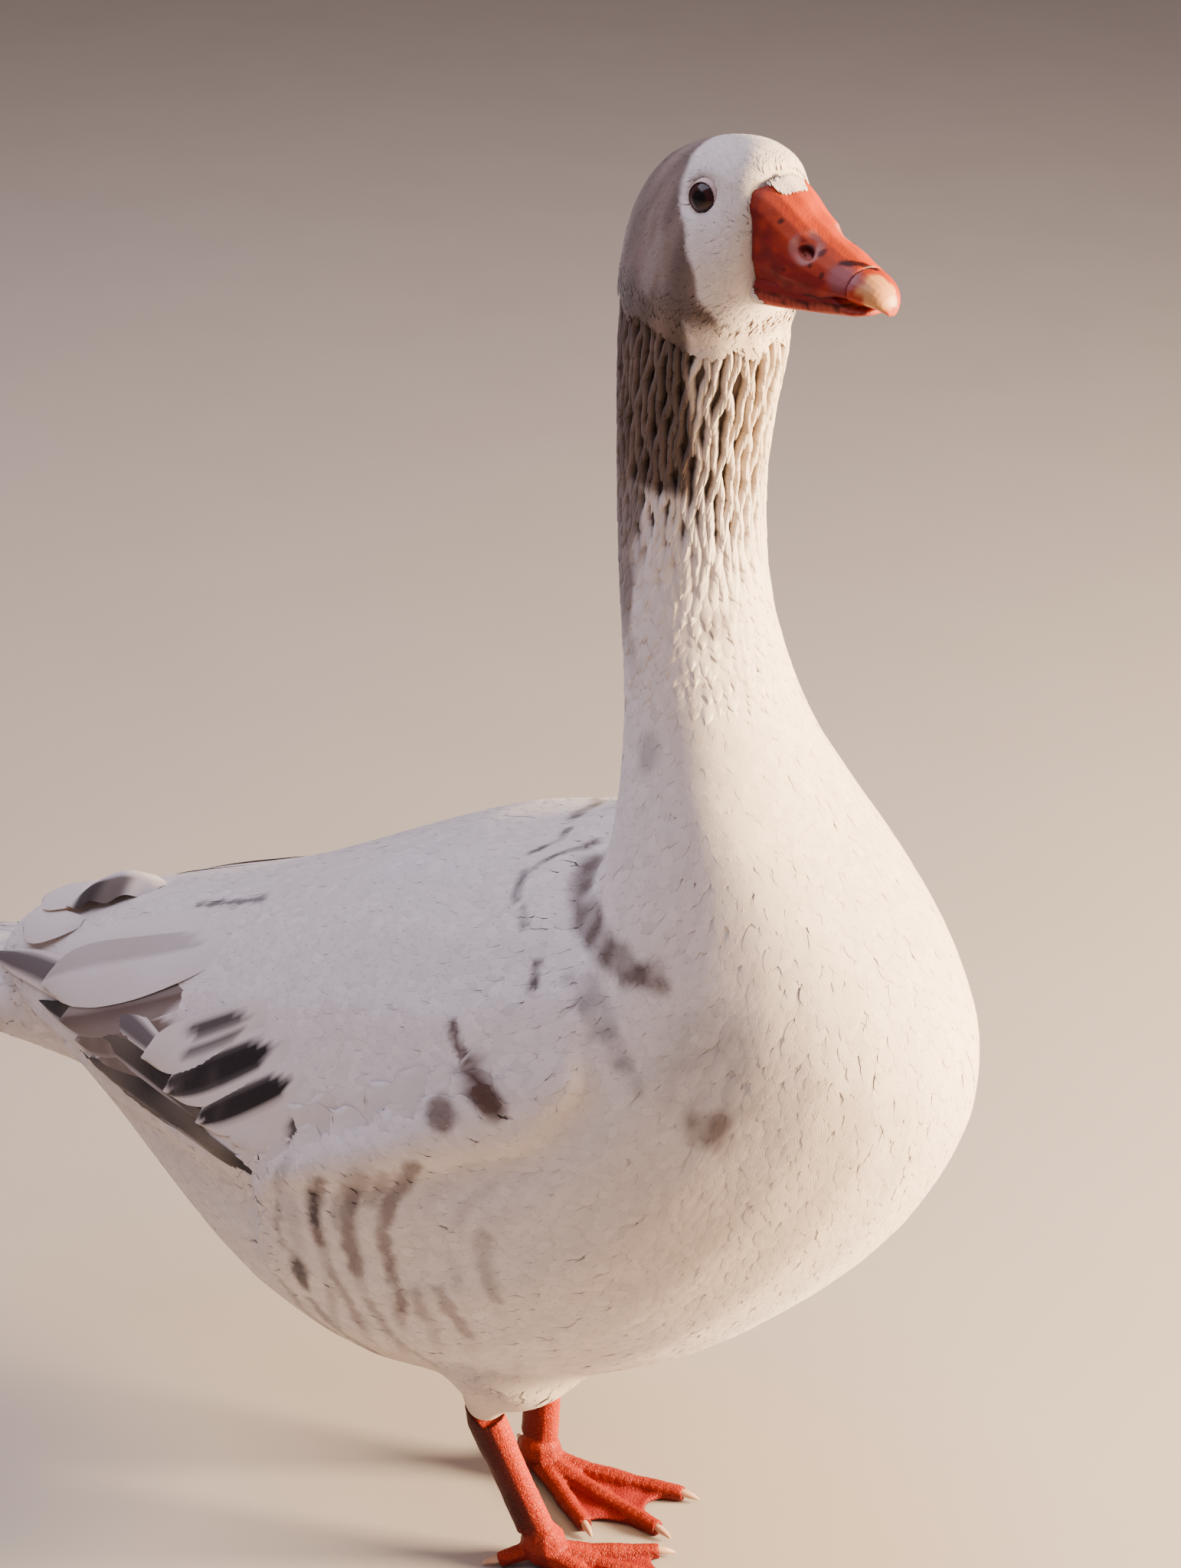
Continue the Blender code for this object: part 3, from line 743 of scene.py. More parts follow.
# %% The surface that feathers lie on
class Surface:
    def __init__(self, thing):
        mesh = thing.data
        mesh.calc_loop_triangles()
        self.places, self.normals = places_of(thing), normals_of(thing)
        self.corners = self.triangles(mesh, "vertices")
        if "OFBake" in mesh.uv_layers:
            spots = np.empty(len(mesh.loops) * 2)
            mesh.uv_layers["OFBake"].uv.foreach_get("vector", spots)
            self.spots = spots.reshape(-1, 2)[self.triangles(mesh, "loops")]
        self.tree = BVHTree.FromPolygons(self.places.tolist(), self.corners.tolist(), all_triangles=True)

    def triangles(self, mesh, what):
        found = np.empty(len(mesh.loop_triangles) * 3, dtype=np.int32)
        mesh.loop_triangles.foreach_get(what, found)
        return found.reshape(-1, 3)

    def drop(self, points):
        """The nearest skin point, normal, triangle and share of its corners for each point."""
        found = [self.tree.find_nearest(point) for point in points.tolist()]
        at = np.array([hit[0] for hit in found])
        face = np.array([hit[2] for hit in found])
        a, b, c = (self.places[self.corners[face, i]] for i in range(3))
        ab, ac, ap = b - a, c - a, at - a
        d00, d01, d11 = (ab * ab).sum(1), (ab * ac).sum(1), (ac * ac).sum(1)
        d20, d21 = (ap * ab).sum(1), (ap * ac).sum(1)
        under = np.maximum(d00 * d11 - d01 * d01, 1e-18)
        v = (d11 * d20 - d01 * d21) / under
        w = (d00 * d21 - d01 * d20) / under
        shares = np.clip(np.stack([1 - v - w, v, w], axis=1), 0, 1)
        normal = (self.normals[self.corners[face]] * shares[:, :, None]).sum(1)
        normal /= np.maximum(np.linalg.norm(normal, axis=1, keepdims=True), 1e-9)
        return at, normal, face, shares

    def map_spots(self, points):
        _, _, face, shares = self.drop(points)
        return (self.spots[face] * shares[:, :, None]).sum(1)


surface = Surface(skin)
print("the skin has", len(surface.corners), "triangles")

# %% [markdown]
# Roots are scattered over the skin at random, more than are needed, and thinned out until none is nearer
# to another than its gap.

# %% Scatter and thin out
def thin_out(points, gap):
    """Keeps a point only if no kept one is nearer than its gap."""
    steps = [(i, j, k) for i in (-1, 0, 1) for j in (-1, 0, 1) for k in (-1, 0, 1)]
    cells = np.floor(points / gap.max()).astype(int).tolist()
    grid, kept = {}, []
    for index, ((x, y, z), (i, j, k), reach) in enumerate(zip(points.tolist(), cells, gap.tolist())):
        near = reach ** 2
        around = (other for di, dj, dk in steps for other in grid.get((i + di, j + dj, k + dk), ()))
        if all((px - x) ** 2 + (py - y) ** 2 + (pz - z) ** 2 >= near for px, py, pz in around):
            grid.setdefault((i, j, k), []).append((x, y, z))
            kept.append(index)
    return points[kept]


def scatter(spacing, seed):
    """Places all over the skin, about a spacing apart. spacing is a function of place."""
    source = np.random.default_rng(seed)
    a, b, c = (surface.places[surface.corners[:, i]] for i in range(3))
    area = np.linalg.norm(np.cross(b - a, c - a), axis=1) / 2
    gap = spacing((a + b + c) / 3)
    count = source.poisson(area / (gap * gap) * 2.2)
    face = np.repeat(np.arange(len(area)), count)
    u, v = source.random(len(face)), source.random(len(face))
    flip = u + v > 1
    u[flip], v[flip] = 1 - u[flip], 1 - v[flip]
    points = a[face] + (b - a)[face] * u[:, None] + (c - a)[face] * v[:, None]
    points = points[source.permutation(len(points))]
    return thin_out(points, spacing(points))


line = np.linspace([0, 0, 0], [1, 0, 0], 101)
print("a line of", len(line), "points thins out to", len(thin_out(line, np.full(len(line), 0.05))))

# %% [markdown]
# ## A feather
# A hair system would make plumage quickly, but it can't be exported as solid pieces. So every feather is a
# vane: a grid of points, narrow at the root, widest past the middle, round at the end. A `Coat` gathers
# the vanes of one piece, with a colour for each point and two maps: the spot of the bake, and the place on
# the vane, on which the barbs are drawn.

# %% Gather feathers in a piece
VANE_PATCH = 0.003


class Coat:
    def __init__(self, name):
        self.name = name
        self.places, self.faces, self.colours, self.bake, self.vane = [], [], [], [], []
        self.count, self.total = 0, 0

    def add(self, grid, colour, spots, length, width):
        """Takes feathers as an array (feather, row, column, xyz) with a colour for each point."""
        number, rows, columns = grid.shape[:3]
        index = np.arange(rows * columns).reshape(rows, columns)
        quads = np.stack([index[:-1, :-1], index[:-1, 1:], index[1:, 1:], index[1:, :-1]], axis=-1)
        quads = quads.reshape(1, -1, 4) + (np.arange(number) * rows * columns)[:, None, None]
        self.faces.append(quads.reshape(-1, 4) + self.count)
        self.places.append(grid.reshape(-1, 3))
        self.colours.append(colour.reshape(-1, 3))
        along = np.linspace(0, 1, rows)[None, :, None]
        across = np.linspace(0, 1, columns)[None, None, :]
        patch, local = np.zeros((2, number, rows, columns, 2))
        patch[..., 0] = (across - 0.5) * VANE_PATCH + spots[:, None, None, 0]
        patch[..., 1] = (along - 0.5) * VANE_PATCH + spots[:, None, None, 1]
        local[..., 0] = (across - 0.5) * np.reshape(width, (-1, 1, 1)) * 100
        local[..., 1] = along * np.reshape(length, (-1, 1, 1)) * 100
        self.bake.append(patch.reshape(-1, 2))
        self.vane.append(local.reshape(-1, 2))
        self.count += number * rows * columns
        self.total += number

    def build(self, material):
        places = np.concatenate(self.places)
        faces = np.concatenate(self.faces)
        mesh = bpy.data.meshes.new(self.name)
        mesh.vertices.add(len(places))
        mesh.vertices.foreach_set("co", places.ravel())
        mesh.loops.add(faces.size)
        mesh.loops.foreach_set("vertex_index", faces.ravel())
        mesh.polygons.add(len(faces))
        mesh.polygons.foreach_set("loop_start", np.arange(0, faces.size, 4))
        mesh.update(calc_edges=True)
        made = bpy.data.objects.new(self.name, mesh)
        paint(made, np.concatenate(self.colours))
        for name, values in (("OFBake", self.bake), ("vane", self.vane)):
            layer = mesh.uv_layers.new(name=name, do_init=False)
            layer.uv.foreach_set("vector", np.concatenate(values)[faces.ravel()].ravel())
        mesh.shade_smooth()
        bpy.context.scene.collection.objects.link(made)
        mesh.materials.append(material)
        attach(made, "root")
        print(self.name, "has", self.total, "feathers and", 2 * len(faces), "triangles")


print("a Coat takes vanes as grids of points")

# %% [markdown]
# A vane rises from the skin at its root and lies on its neighbours at its tip, and its edges bend down.
# Length, width, lift and camber may be single numbers or one number for each feather.

# %% Lay feathers on the skin
def unit(vectors):
    return vectors / np.maximum(np.linalg.norm(vectors, axis=1, keepdims=True), 1e-9)


def vane_shape(rows, columns, blunt):
    """Share of the length of each row, half-width share of each row, and place across."""
    along = 1 - (1 - np.linspace(0, 1, rows)) ** 1.25
    widest = 0.45 + 0.35 * blunt
    before = 0.30 + 0.70 * np.sin(math.pi / 2 * np.clip(along / widest, 0, 1)) ** 0.8
    after = np.sqrt(np.clip(1 - (np.clip(along - widest, 0, 1) / (1 - widest)) ** 2.4, 0, 1))
    return along, np.maximum(before * after, 0.16), np.linspace(-1, 1, columns)


def lay_feathers(roots, ways, length, width, lift, rows, columns, camber, fray, seed,
                 root_lift=0.25, blunt=0.35, bend=0.0, ground_of=surface):
    """Feathers along ways from roots, dropped onto the ground and lifted off it."""
    source = np.random.default_rng(seed)
    number = len(roots)
    length, width, lift, camber = (np.broadcast_to(np.asarray(v, float), number).reshape(-1, 1, 1)
                                   for v in (length, width, lift, camber))
    at, normal, _, _ = ground_of.drop(roots)
    ways = unit(ways - normal * (ways * normal).sum(1, keepdims=True))
    across_way = np.cross(normal, ways)
    along, half, across = vane_shape(rows, columns, blunt)
    up_vane = along[None, :, None]
    tip = (1 - 0.05 * np.abs(across) ** 2)[None, None, :]
    ragged = 1 + fray * source.normal(size=(number, 1, columns)) * (along ** 3)[None, :, None]
    reach = length * up_vane * tip * ragged
    spread = width / 2 * half[None, :, None] * across[None, None, :]
    spread = spread * (1 + fray * source.normal(size=(number, 1, columns)))
    spread = spread + bend * length * (4 * along * (1 - along))[None, :, None]
    flat = (at[:, None, None, :] + ways[:, None, None, :] * reach[..., None]
            + across_way[:, None, None, :] * spread[..., None])
    ground, up, _, _ = ground_of.drop(flat.reshape(-1, 3))
    rise = root_lift + (1 - root_lift) * (1 - (1 - along) ** 3.2)
    height = lift * rise[None, :, None] - camber * MM * (np.abs(across) ** 2)[None, None, :]
    made = ground + up * np.maximum(height.reshape(-1, 1), 0.15 * MM)
    return made.reshape(flat.shape), surface.map_spots(roots)


print("a vane's half widths:", vane_shape(6, 5, 0.35)[1].round(2))

# %% [markdown]
# ## The lie of the coat
# Feathers point away from the bill: back over the head, down the neck, down and back over the breast,
# then along the trunk to the tail.

# %% Directions and sizes over the body
def lie_of_coat(points):
    x, z = points[:, 0], points[:, 2]
    up = np.array([0, 0, 1.0])
    forehead = step_up(straight(points)[:, 0], 12 * MM, 32 * MM) * step_up(z, 0.736, 0.754)
    head = -AHEAD + up * (1.35 * forehead - 0.45)[:, None]
    head = head + step_up(0.195 - x, 0, 0.03)[:, None] * np.array([0.5, 0, -1.6])
    neck, breast = np.array([-0.12, 0, -1.0]), np.array([-0.55, 0, -0.85])
    trunk, rear = np.array([-1.0, 0, -0.16]), np.array([-1.0, 0, 0.22])
    flank, thigh = np.array([-1.0, 0, 0.45]), np.array([-0.35, 0, -1.0])
    upper = layered(neck, [(head, step_up(z, 0.690, 0.725))])
    return layered(trunk, [
        (breast, step_up(x + (z - 0.3) * 0.6, 0.14, 0.26)),
        (upper, step_up(z - (x < 0.17) * 0.02, 0.38, 0.47)),
        (rear, (1 - step_up(x, -0.16, 0.02)) * (1 - step_up(z, 0.20, 0.27))),
        (flank, step_up(flank_overlap(points), 0.2 * MM, 0.8 * MM)),
        (thigh, (1 - step_up(z, 0.10, 0.135)) * step_up(x, 0.03, 0.06))])


def beside_thigh(points, top):
    x, z = points[:, 0], points[:, 2]
    return (1 - step_up(z, 0.115, top)) * step_up(x, -0.01, 0.03) * (1 - step_up(x, 0.13, 0.18))


def feather_length(points):
    x, z = points[:, 0], points[:, 2]
    length = np.full(len(points), 34 * MM)
    length = toward(length, 21 * MM, step_up(x, 0.16, 0.26))
    length = toward(length, 17 * MM, step_up(z, 0.42, 0.52))
    length = toward(length, 5.4 * MM, step_up(z, 0.670, 0.686))
    return toward(length, 11 * MM, beside_thigh(points, 0.165))


def clear_of_eyes(points, reach):
    keep = np.ones(len(points), bool)
    for centre in EYES.values():
        keep &= np.linalg.norm((points - np.array(centre)) * [1, 0.35, 0.92], axis=1) > reach
    return keep


lengths = feather_length(surface.places) / MM
print("feathers from", lengths.min().round(1), "to", lengths.max().round(1), "mm long")

# %% [markdown]
# ## Plumage finish
# Feathers are matt with a soft sheen. The barbs show as fine slanting lines on each side of the shaft.
# They are finer than any mesh could be, so they are a bump that follows each vane. Flight feathers are
# harder, with stronger lines and hardly any sheen.

# %% Materials of the plumage
def plumage_finish(name, barb_bump, sheen):
    made = Finish(name)
    vane = made.node("UVMap", {"uv_map": "vane"}, output="UV")
    parts = made.tree.nodes.new("ShaderNodeSeparateXYZ")
    made.tree.links.new(vane.socket, parts.inputs[0])
    across, along = Value(made.tree, parts.outputs[0]), Value(made.tree, parts.outputs[1])
    barbs = (along - across.math("ABSOLUTE") * 1.3) * 62.0
    lines = barbs.math("SINE") * 0.5 + 0.5
    height = lines * 0.5 + made.noise(260.0, 2.0)
    soil = made.noise(38.0, 4.0) * 0.16
    return made.done(Base_Color=made.blend("MULTIPLY", soil, made.tint(), (0.80, 0.70, 0.58, 1)),
                     Roughness=0.62, Sheen_Weight=sheen, Sheen_Roughness=0.5, Specular_IOR_Level=0.25,
                     Normal=made.bump(height, barb_bump))


plumage = plumage_finish("plumage", 0.12 * MM, 0.25)
quill_finish = plumage_finish("flight feathers", 0.16 * MM, 0.05)
print("two finishes for feathers")

# %% [markdown]
# The skin under the feathers has the coat's own colours, a little darker, and brown painted shade in the
# neck's grooves.

# %% Finish the skin
down = Finish("down over skin")
skin.data.materials.append(down.done(
    Base_Color=down.blend("MULTIPLY", 0.3, down.tint(), (0.75, 0.70, 0.66, 1)),
    Roughness=0.8, Sheen_Weight=0.2, Normal=down.bump(down.noise(420.0, 3.0), 0.3 * MM)))
skin_places = places_of(skin)
in_neck = step_up(skin_places[:, 2], 0.585, 0.62) * (1 - step_up(skin_places[:, 2], 0.690, 0.70))
# Painted shade: the skin in the furrowed neck is darkened brown as the shade in the grooves.
paint(skin, layered(coat_colour(skin_places), [(GROOVE_SHADE * 0.6, in_neck * 0.85)]))
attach(skin, "root")
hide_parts(*FLESH)
print("skin finished")

# %% [markdown]
# ## The body's small feathers
# They are scattered evenly, a quarter of their length apart, but not on the bill, the eyes or the
# furrowed neck.

# %% Roots of the small feathers
def feathered(points):
    """Where the small feathers grow."""
    ahead, z = straight(points)[:, 0], points[:, 2]
    limit = (55.5 - 7.0 * step_up(z, 0.742, 0.750)) * MM
    beyond_bill = ((ahead > limit) & (z > 0.716)) | ((ahead > 56 * MM) & (z > 0.70))
    brim = 0.687 + 14 * MM * (1 - step_up(points[:, 0], 0.172, 0.198)) + 3 * MM * waves(points, 12 * MM, 81)
    furrowed = (z > 0.56) & (z < brim)
    return ~beyond_bill & ~furrowed & clear_of_eyes(points, EYE_RADIUS * 0.93)


def body_spacing(points):
    length = feather_length(points)
    return length * (0.235 + 0.05 * (length < 9 * MM))


body_roots = scatter(body_spacing, 5)
body_roots = body_roots[feathered(body_roots)]
print(len(body_roots), "small feathers")

# %% [markdown]
# Each feather takes the colour of the coat at its own place, with a little difference from one feather to
# the next. It is lifted by the coat's depth, measured where the feather stands deepest.

# %% Lay the small feathers
def shade_each(colours, seed, spread):
    """The colours with each feather a touch lighter or darker than the last."""
    source = np.random.default_rng(seed)
    return np.clip(colours * (1 + spread * source.normal(size=(len(colours), 1, 1, 1))), 0, 1)


def coat_colour_of(grid):
    return coat_colour(grid.reshape(-1, 3)).reshape(grid.shape)


def build_coat(name, grid, colour, spots, length, width, seed, spread=0.035):
    coat = Coat(name)
    coat.add(grid, shade_each(colour, seed, spread), spots, length, width)
    coat.build(plumage)


def deepest(roots, way, length):
    """The coat's depth at a feather's root or near its tip, whichever is deeper."""
    return np.maximum(coat_depth(roots), coat_depth(roots + way * (0.8 * length)[:, None]))


def lay_body(name, chosen, rows, columns, seed, spread=0.035):
    source = np.random.default_rng(seed)
    roots = body_roots[chosen]
    number = len(roots)
    length = feather_length(roots) * source.uniform(0.85, 1.15, number)
    width = length * np.where(length < 9 * MM, 0.74, 0.80)
    way = unit(lie_of_coat(roots)) + source.normal(scale=0.07, size=(number, 3))
    lift = (deepest(roots, way, length) + flank_overlap(roots)) * source.uniform(0.955, 0.985, number)
    camber = np.clip(length / MM * 0.005, 0.02, 0.12)
    grid, spots = lay_feathers(roots, way, length, width, lift, rows, columns, camber, fray=0.04, seed=seed)
    # Painted shade: each feather is darker towards its root, where the feathers over it shade it.
    painted_root_shade = 0.90 + 0.10 * step_up(np.linspace(0, 1, rows), 0.45, 1.0)
    colour = coat_colour_of(grid) * painted_root_shade[None, :, None, None]
    build_coat(name, grid, colour, spots, length, width, seed, spread)


def regions(roots):
    """Which roots are on the head, on the neck, low, low and forward, and on the right."""
    x, y, z = roots.T
    return z > 0.688, (z > 0.40) & (z <= 0.688), z <= 0.40, x > 0.13, y < 0


on_head, on_neck, low, forward, right = regions(body_roots)
lay_body("coat_head", on_head, rows=4, columns=3, seed=101, spread=0.07)
lay_body("coat_neck", on_neck, rows=7, columns=5, seed=102)
lay_body("coat_breast_right", low & forward & right, rows=7, columns=5, seed=103)
lay_body("coat_breast_left", low & forward & ~right, rows=7, columns=5, seed=104)
lay_body("coat_side_right", low & ~forward & right, rows=7, columns=7, seed=105)
lay_body("coat_side_left", low & ~forward & ~right, rows=7, columns=7, seed=106)

# %% [markdown]
# The ends of the feathers are loose and downy, and they blur one feather into the next. Fine narrow tufts
# laid over the vanes do the same: short on the head, longer on the body.

# %% Soft ends over the vanes
def tuft_gap(points):
    return (3.2 - 1.95 * step_up(points[:, 2], 0.668, 0.690) - 1.3 * beside_thigh(points, 0.150)) * MM


tuft_roots = scatter(tuft_gap, 15)
tuft_roots = tuft_roots[feathered(tuft_roots)]


def lay_tufts(name, chosen, rows, seed):
    source = np.random.default_rng(seed)
    roots = tuft_roots[chosen]
    number = len(roots)
    length = 4.2 * tuft_gap(roots) * source.uniform(0.8, 1.2, number)
    width = 1.85 * tuft_gap(roots) * source.uniform(0.8, 1.2, number)
    way = unit(lie_of_coat(roots)) + source.normal(scale=0.12, size=(number, 3))
    depth = deepest(roots, way, length) + flank_overlap(roots)
    lift = depth * source.uniform(1.0, 1.015, number) + 0.10 * MM
    grid, spots = lay_feathers(roots, way, length, width, lift, rows, columns=3, camber=0.05, fray=0.0,
                               seed=seed, root_lift=0.90, blunt=0.1)
    build_coat(name, grid, coat_colour_of(grid), spots, length, width, seed, 0.04)


on_head, on_neck, low, forward, right = regions(tuft_roots)
lay_tufts("tufts_head", on_head, rows=4, seed=111)
lay_tufts("tufts_neck", on_neck, rows=5, seed=112)
lay_tufts("tufts_breast", low & forward, rows=5, seed=113)
lay_tufts("tufts_side_right", low & ~forward & right, rows=5, seed=115)
lay_tufts("tufts_side_left", low & ~forward & ~right, rows=5, seed=116)

# %% [markdown]
# ## The furrowed neck
# A goose's upper neck feathers stand in long ropes with grooves between them, which waver and pinch. The
# grooves could be pressed into the skin, but they would look like cloth. Each rope is a line of small
# overlapping locks with steep sides, which shade one another as real ones do.

# %% Courses of the ropes
ROPES = 54
LOCK_STEP = 3.8 * MM
NECK_TOP, NECK_FOOT = 0.716, 0.520
NECK_Z = [0.50, 0.55, 0.61, 0.65, 0.70]
NECK_X = [0.192, 0.184, 0.179, 0.180, 0.186]
NECK_REACH = 34 * MM


def rope_points(rope):
    """Places down one rope, at angles round the neck that waver with height, and the way it runs."""
    levels = np.arange(NECK_TOP, NECK_FOOT, -LOCK_STEP)
    waver = 0.42 * np.sin(math.tau * levels / 0.047 + math.pi * (rope % 2) + 0.9 * math.sin(2.3 * rope))
    waver += 0.20 * np.sin(math.tau * levels / 0.021 + 1.9 * rope)
    angle = math.tau * rope / ROPES + waver * math.tau / ROPES * 0.5
    ring = np.stack([np.interp(levels, NECK_Z, NECK_X) + NECK_REACH * np.cos(angle),
                     NECK_REACH * np.sin(angle), levels], axis=1)
    tilt = np.gradient(waver * math.tau / ROPES * 0.5 * 32 * MM, -LOCK_STEP)
    sideways = np.stack([-np.sin(angle), np.cos(angle), np.zeros_like(angle)], axis=1)
    return ring, np.array([-0.10, 0, -1.0]) - sideways * tilt[:, None]


rings, ways = zip(*(rope_points(rope) for rope in range(ROPES)))
rope_roots, rope_ways = np.concatenate(rings), np.concatenate(ways)
below_cheek = rope_roots[:, 2] < 0.698 + 18 * MM * (1 - step_up(rope_roots[:, 0], 0.178, 0.202))
rope_roots, rope_ways = rope_roots[below_cheek], rope_ways[below_cheek]
print(len(rope_roots), "locks in", ROPES, "ropes")

# %% [markdown]
# The locks are widest and flattest at the foot of the neck, and narrow and steep-sided higher up, where
# their edges are painted brown as the shade in the grooves.

# %% Ropes of neck locks
def neck_ropes(roots, way):
    source = np.random.default_rng(77)
    number = len(roots)
    strength = step_up(roots[:, 2], 0.555, 0.622) * (1 - 0.85 * step_up(roots[:, 2], 0.692, 0.714))
    length = (15 - 3 * strength) * MM * source.uniform(0.85, 1.15, number)
    width = (8.4 - 4.1 * strength) * MM * source.uniform(0.88, 1.12, number)
    lift = (coat_depth(roots) + 0.2 * MM) * source.uniform(0.96, 1.04, number)
    camber = 0.4 + 2.8 * strength
    grid, spots = lay_feathers(roots, way, length, width, lift, rows=6, columns=7, camber=camber, fray=0.05,
                               seed=78, root_lift=0.66, blunt=0.5)
    edge = np.abs(np.linspace(-1, 1, 7))[None, None, :] ** 2.2 * strength[:, None, None]
    brown = hood_share(grid.reshape(-1, 3)).reshape(grid.shape[:3])[..., None]
    # Painted shade: the locks' edges are darkened as the grooves' shade, brown on white and dark brown in
    # the hood.
    painted_groove_shade = GROOVE_SHADE * 0.55 * (1 - brown) + HOOD_DARK * 0.30 * brown
    colour = coat_colour_of(grid)
    colour = colour + (painted_groove_shade - colour) * np.broadcast_to(edge, colour.shape[:3])[..., None] * 0.9
    build_coat("coat_neck_ropes", grid, colour, spots, length, width, 79, 0.06)


neck_ropes(rope_roots, rope_ways)

# %% [markdown]
# ## Flight feathers
# The folded wing shows long quills in layers: blackish primaries low down, then secondaries with broad
# black bands, then the big white tertials over all. They could be spaced by a formula, but on a real wing
# each lies its own way, so each is given by where it starts and ends on the right wing, in millimetres,
# and mirrored for the left. Roots go under the coat and blades lie on top of it.

# %% One quill blade
def quill(coat, root, tip, width, lift, seed, bend=0.0, marks=(), rows=22, columns=11, blunt=0.5,
          wear_and_shade=0.0, base=WHITE, side=1, root_lift=0.3):
    """A long feather from root to tip. marks are (colour, from, to, across, half width, strength)."""
    source = np.random.default_rng(seed)
    root, tip = np.array(root) * [1, side, 1] * MM, np.array(tip) * [1, side, 1] * MM
    length = np.linalg.norm(tip - root)
    grid, spots = lay_feathers(root[None], (tip - root)[None], length, width * MM, lift * MM, rows, columns,
                               camber=0.5, fray=0.0, seed=seed, root_lift=root_lift, blunt=blunt, bend=bend)
    along = np.repeat(np.linspace(0, 1, rows), columns)
    across = np.tile(np.linspace(-1, 1, columns), rows) * side
    points = grid.reshape(-1, 3)
    colours = [(CREAM * 0.9, np.clip(0.25 + 0.2 * waves(points, 30 * MM, seed + 1), 0, 1) * 0.5)]
    barbs = along - 0.16 * np.abs(across) + 0.010 * source.normal(size=len(along))
    for shade, start, end, centre, half, strength in marks:
        inside = step_up(barbs, start - 0.03, start + 0.03) * (1 - step_up(barbs, end - 0.04, end + 0.04))
        inside *= 1 - step_up(np.abs(across - centre), half - 0.12, half + 0.12)
        colours.append((shade, inside * strength))
    # Wear mottles the feather; above a half, painted shade is added under the top tertials and along both
    # edges.
    colours.append((DUSKY, np.clip(waves(points, 12 * MM, seed + 2) - 0.2, 0, 1) * wear_and_shade))
    if wear_and_shade > 0.5:
        colours.append((SHADE_BROWN * 0.8, stroke(both_sides(points), UNDER_TERTIAL, 13) * 0.8))
        colours.append((BLACK, step_up(np.abs(across), 0.80, 0.98) * 0.5))
    coat.add(grid, layered(base, colours).reshape(grid.shape), spots, length, width * MM)


FOLDED_PRIMARIES = [
    ((36, -126, 241), (-120, -94, 237), 9, 4.6, [], {"base": BLACK}),
    ((-6, -120, 243), (-160, -80, 240), 16, 4.9, [(WHITE, 0.0, 0.99, 0.95, 0.2, 0.3)], {"base": BLACK}),
    ((-30, -116, 256), (-205, -56, 246), 18, 5.3, [(WHITE, 0.0, 0.99, 0.95, 0.2, 0.5)], {"base": BLACK}),
    ((-60, -105, 272), (-266, -30, 246), 24, 5.6, [(SLATE, 0.0, 0.98, 0.0, 0.62, 0.95)], {}),
]
SECONDARIES = [
    ((96, -136, 290), (16, -136, 257), 26, 4.4, [], {}),
    ((72, -135, 322), (-12, -130, 257), 28, 4.7, [(BLACK, 0.22, 0.42, 0.35, 0.45, 0.9)], {}),
    ((58, -132, 334), (-40, -121, 254), 27, 5.0, [(BLACK, 0.26, 0.90, -0.15, 0.52, 1.0)], {}),
    ((40, -125, 345), (-70, -110, 258), 30, 5.3, [(BLACK, 0.24, 0.90, -0.10, 0.58, 1.0)], {}),
    ((14, -113, 345), (-94, -102, 268), 30, 5.6,
     [(BLACK, 0.20, 0.52, -0.45, 0.30, 0.9), (BLACK, 0.25, 0.58, 0.25, 0.18, 0.8)], {}),
]
# The first three's brown is partly their own colour and partly painted shade; the fourth's grey edge is
# painted shade.
TERTIALS = [
    ((-40, -104, 300), (-140, -86, 246), 24, 4.9, [(SHADE_BROWN, 0.15, 0.95, 0.15, 0.75, 0.9)], {"wear_and_shade": 0.8}),
    ((-50, -98, 308), (-162, -78, 247), 24, 5.3, [(SHADE_BROWN, 0.2, 0.95, 0.15, 0.7, 0.9)], {"wear_and_shade": 0.8}),
    ((-58, -90, 320), (-180, -70, 250), 26, 5.7, [(SHADE_BROWN, 0.1, 0.95, 0.3, 0.6, 0.8)], {"wear_and_shade": 0.6}),
    ((-46, -66, 340), (-203, -54, 261), 38, 6.8, [(DUSKY, 0.1, 0.9, -0.75, 0.45, 0.5)], {}),
    ((-40, -44, 350), (-206, -46, 273), 34, 4.6, [], {}),
]
# UNDER_TERTIAL is the course of a painted shadow under the top tertials' lower edge.
UNDER_TERTIAL = [(-182, -59, 243), (-124, -73, 274), (-85, -76, 299), (-54, -78, 317)]
print(len(FOLDED_PRIMARIES) + len(SECONDARIES) + len(TERTIALS), "quills on each wing")

# %% [markdown]
# Each layer has its own bluntness and bend. The first primaries lie deep in the coat up to their roots.

# %% The folded wings
QUILL_LAYERS = [
    (FOLDED_PRIMARIES, 400, {"bend": -0.05, "blunt": 0.25, "root_lift": 0.85}),
    (SECONDARIES, 420, {"bend": 0.03, "blunt": 0.62, "wear_and_shade": 0.15}),
    (TERTIALS, 440, {"bend": 0.04, "blunt": 0.55}),
]


def folded_wing(side, word):
    coat = Coat(f"quills_{word}")
    for rows, seed, shared in QUILL_LAYERS:
        for index, (root, tip, width, lift, marks, own) in enumerate(rows):
            quill(coat, root, tip, width, lift, seed + index, marks=marks, side=side, **shared, **own)
    coat.build(quill_finish)


folded_wing(1, "right")
folded_wing(-1, "left")

# %% [markdown]
# ## The tail
# A short fan of stiff white feathers, the middle ones on top, with as many under them. The fan is regular,
# so a loop spaces it, and some feathers have a grey stroke.

# %% Tail fan
TAIL_QUILLS, TAIL_WIDTH = 16, 25
tail_low, tail_high = (np.array(corner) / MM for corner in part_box("tail"))
tail_end, _, tail_bottom = tail_low
tail_root, tail_side, tail_top = tail_high


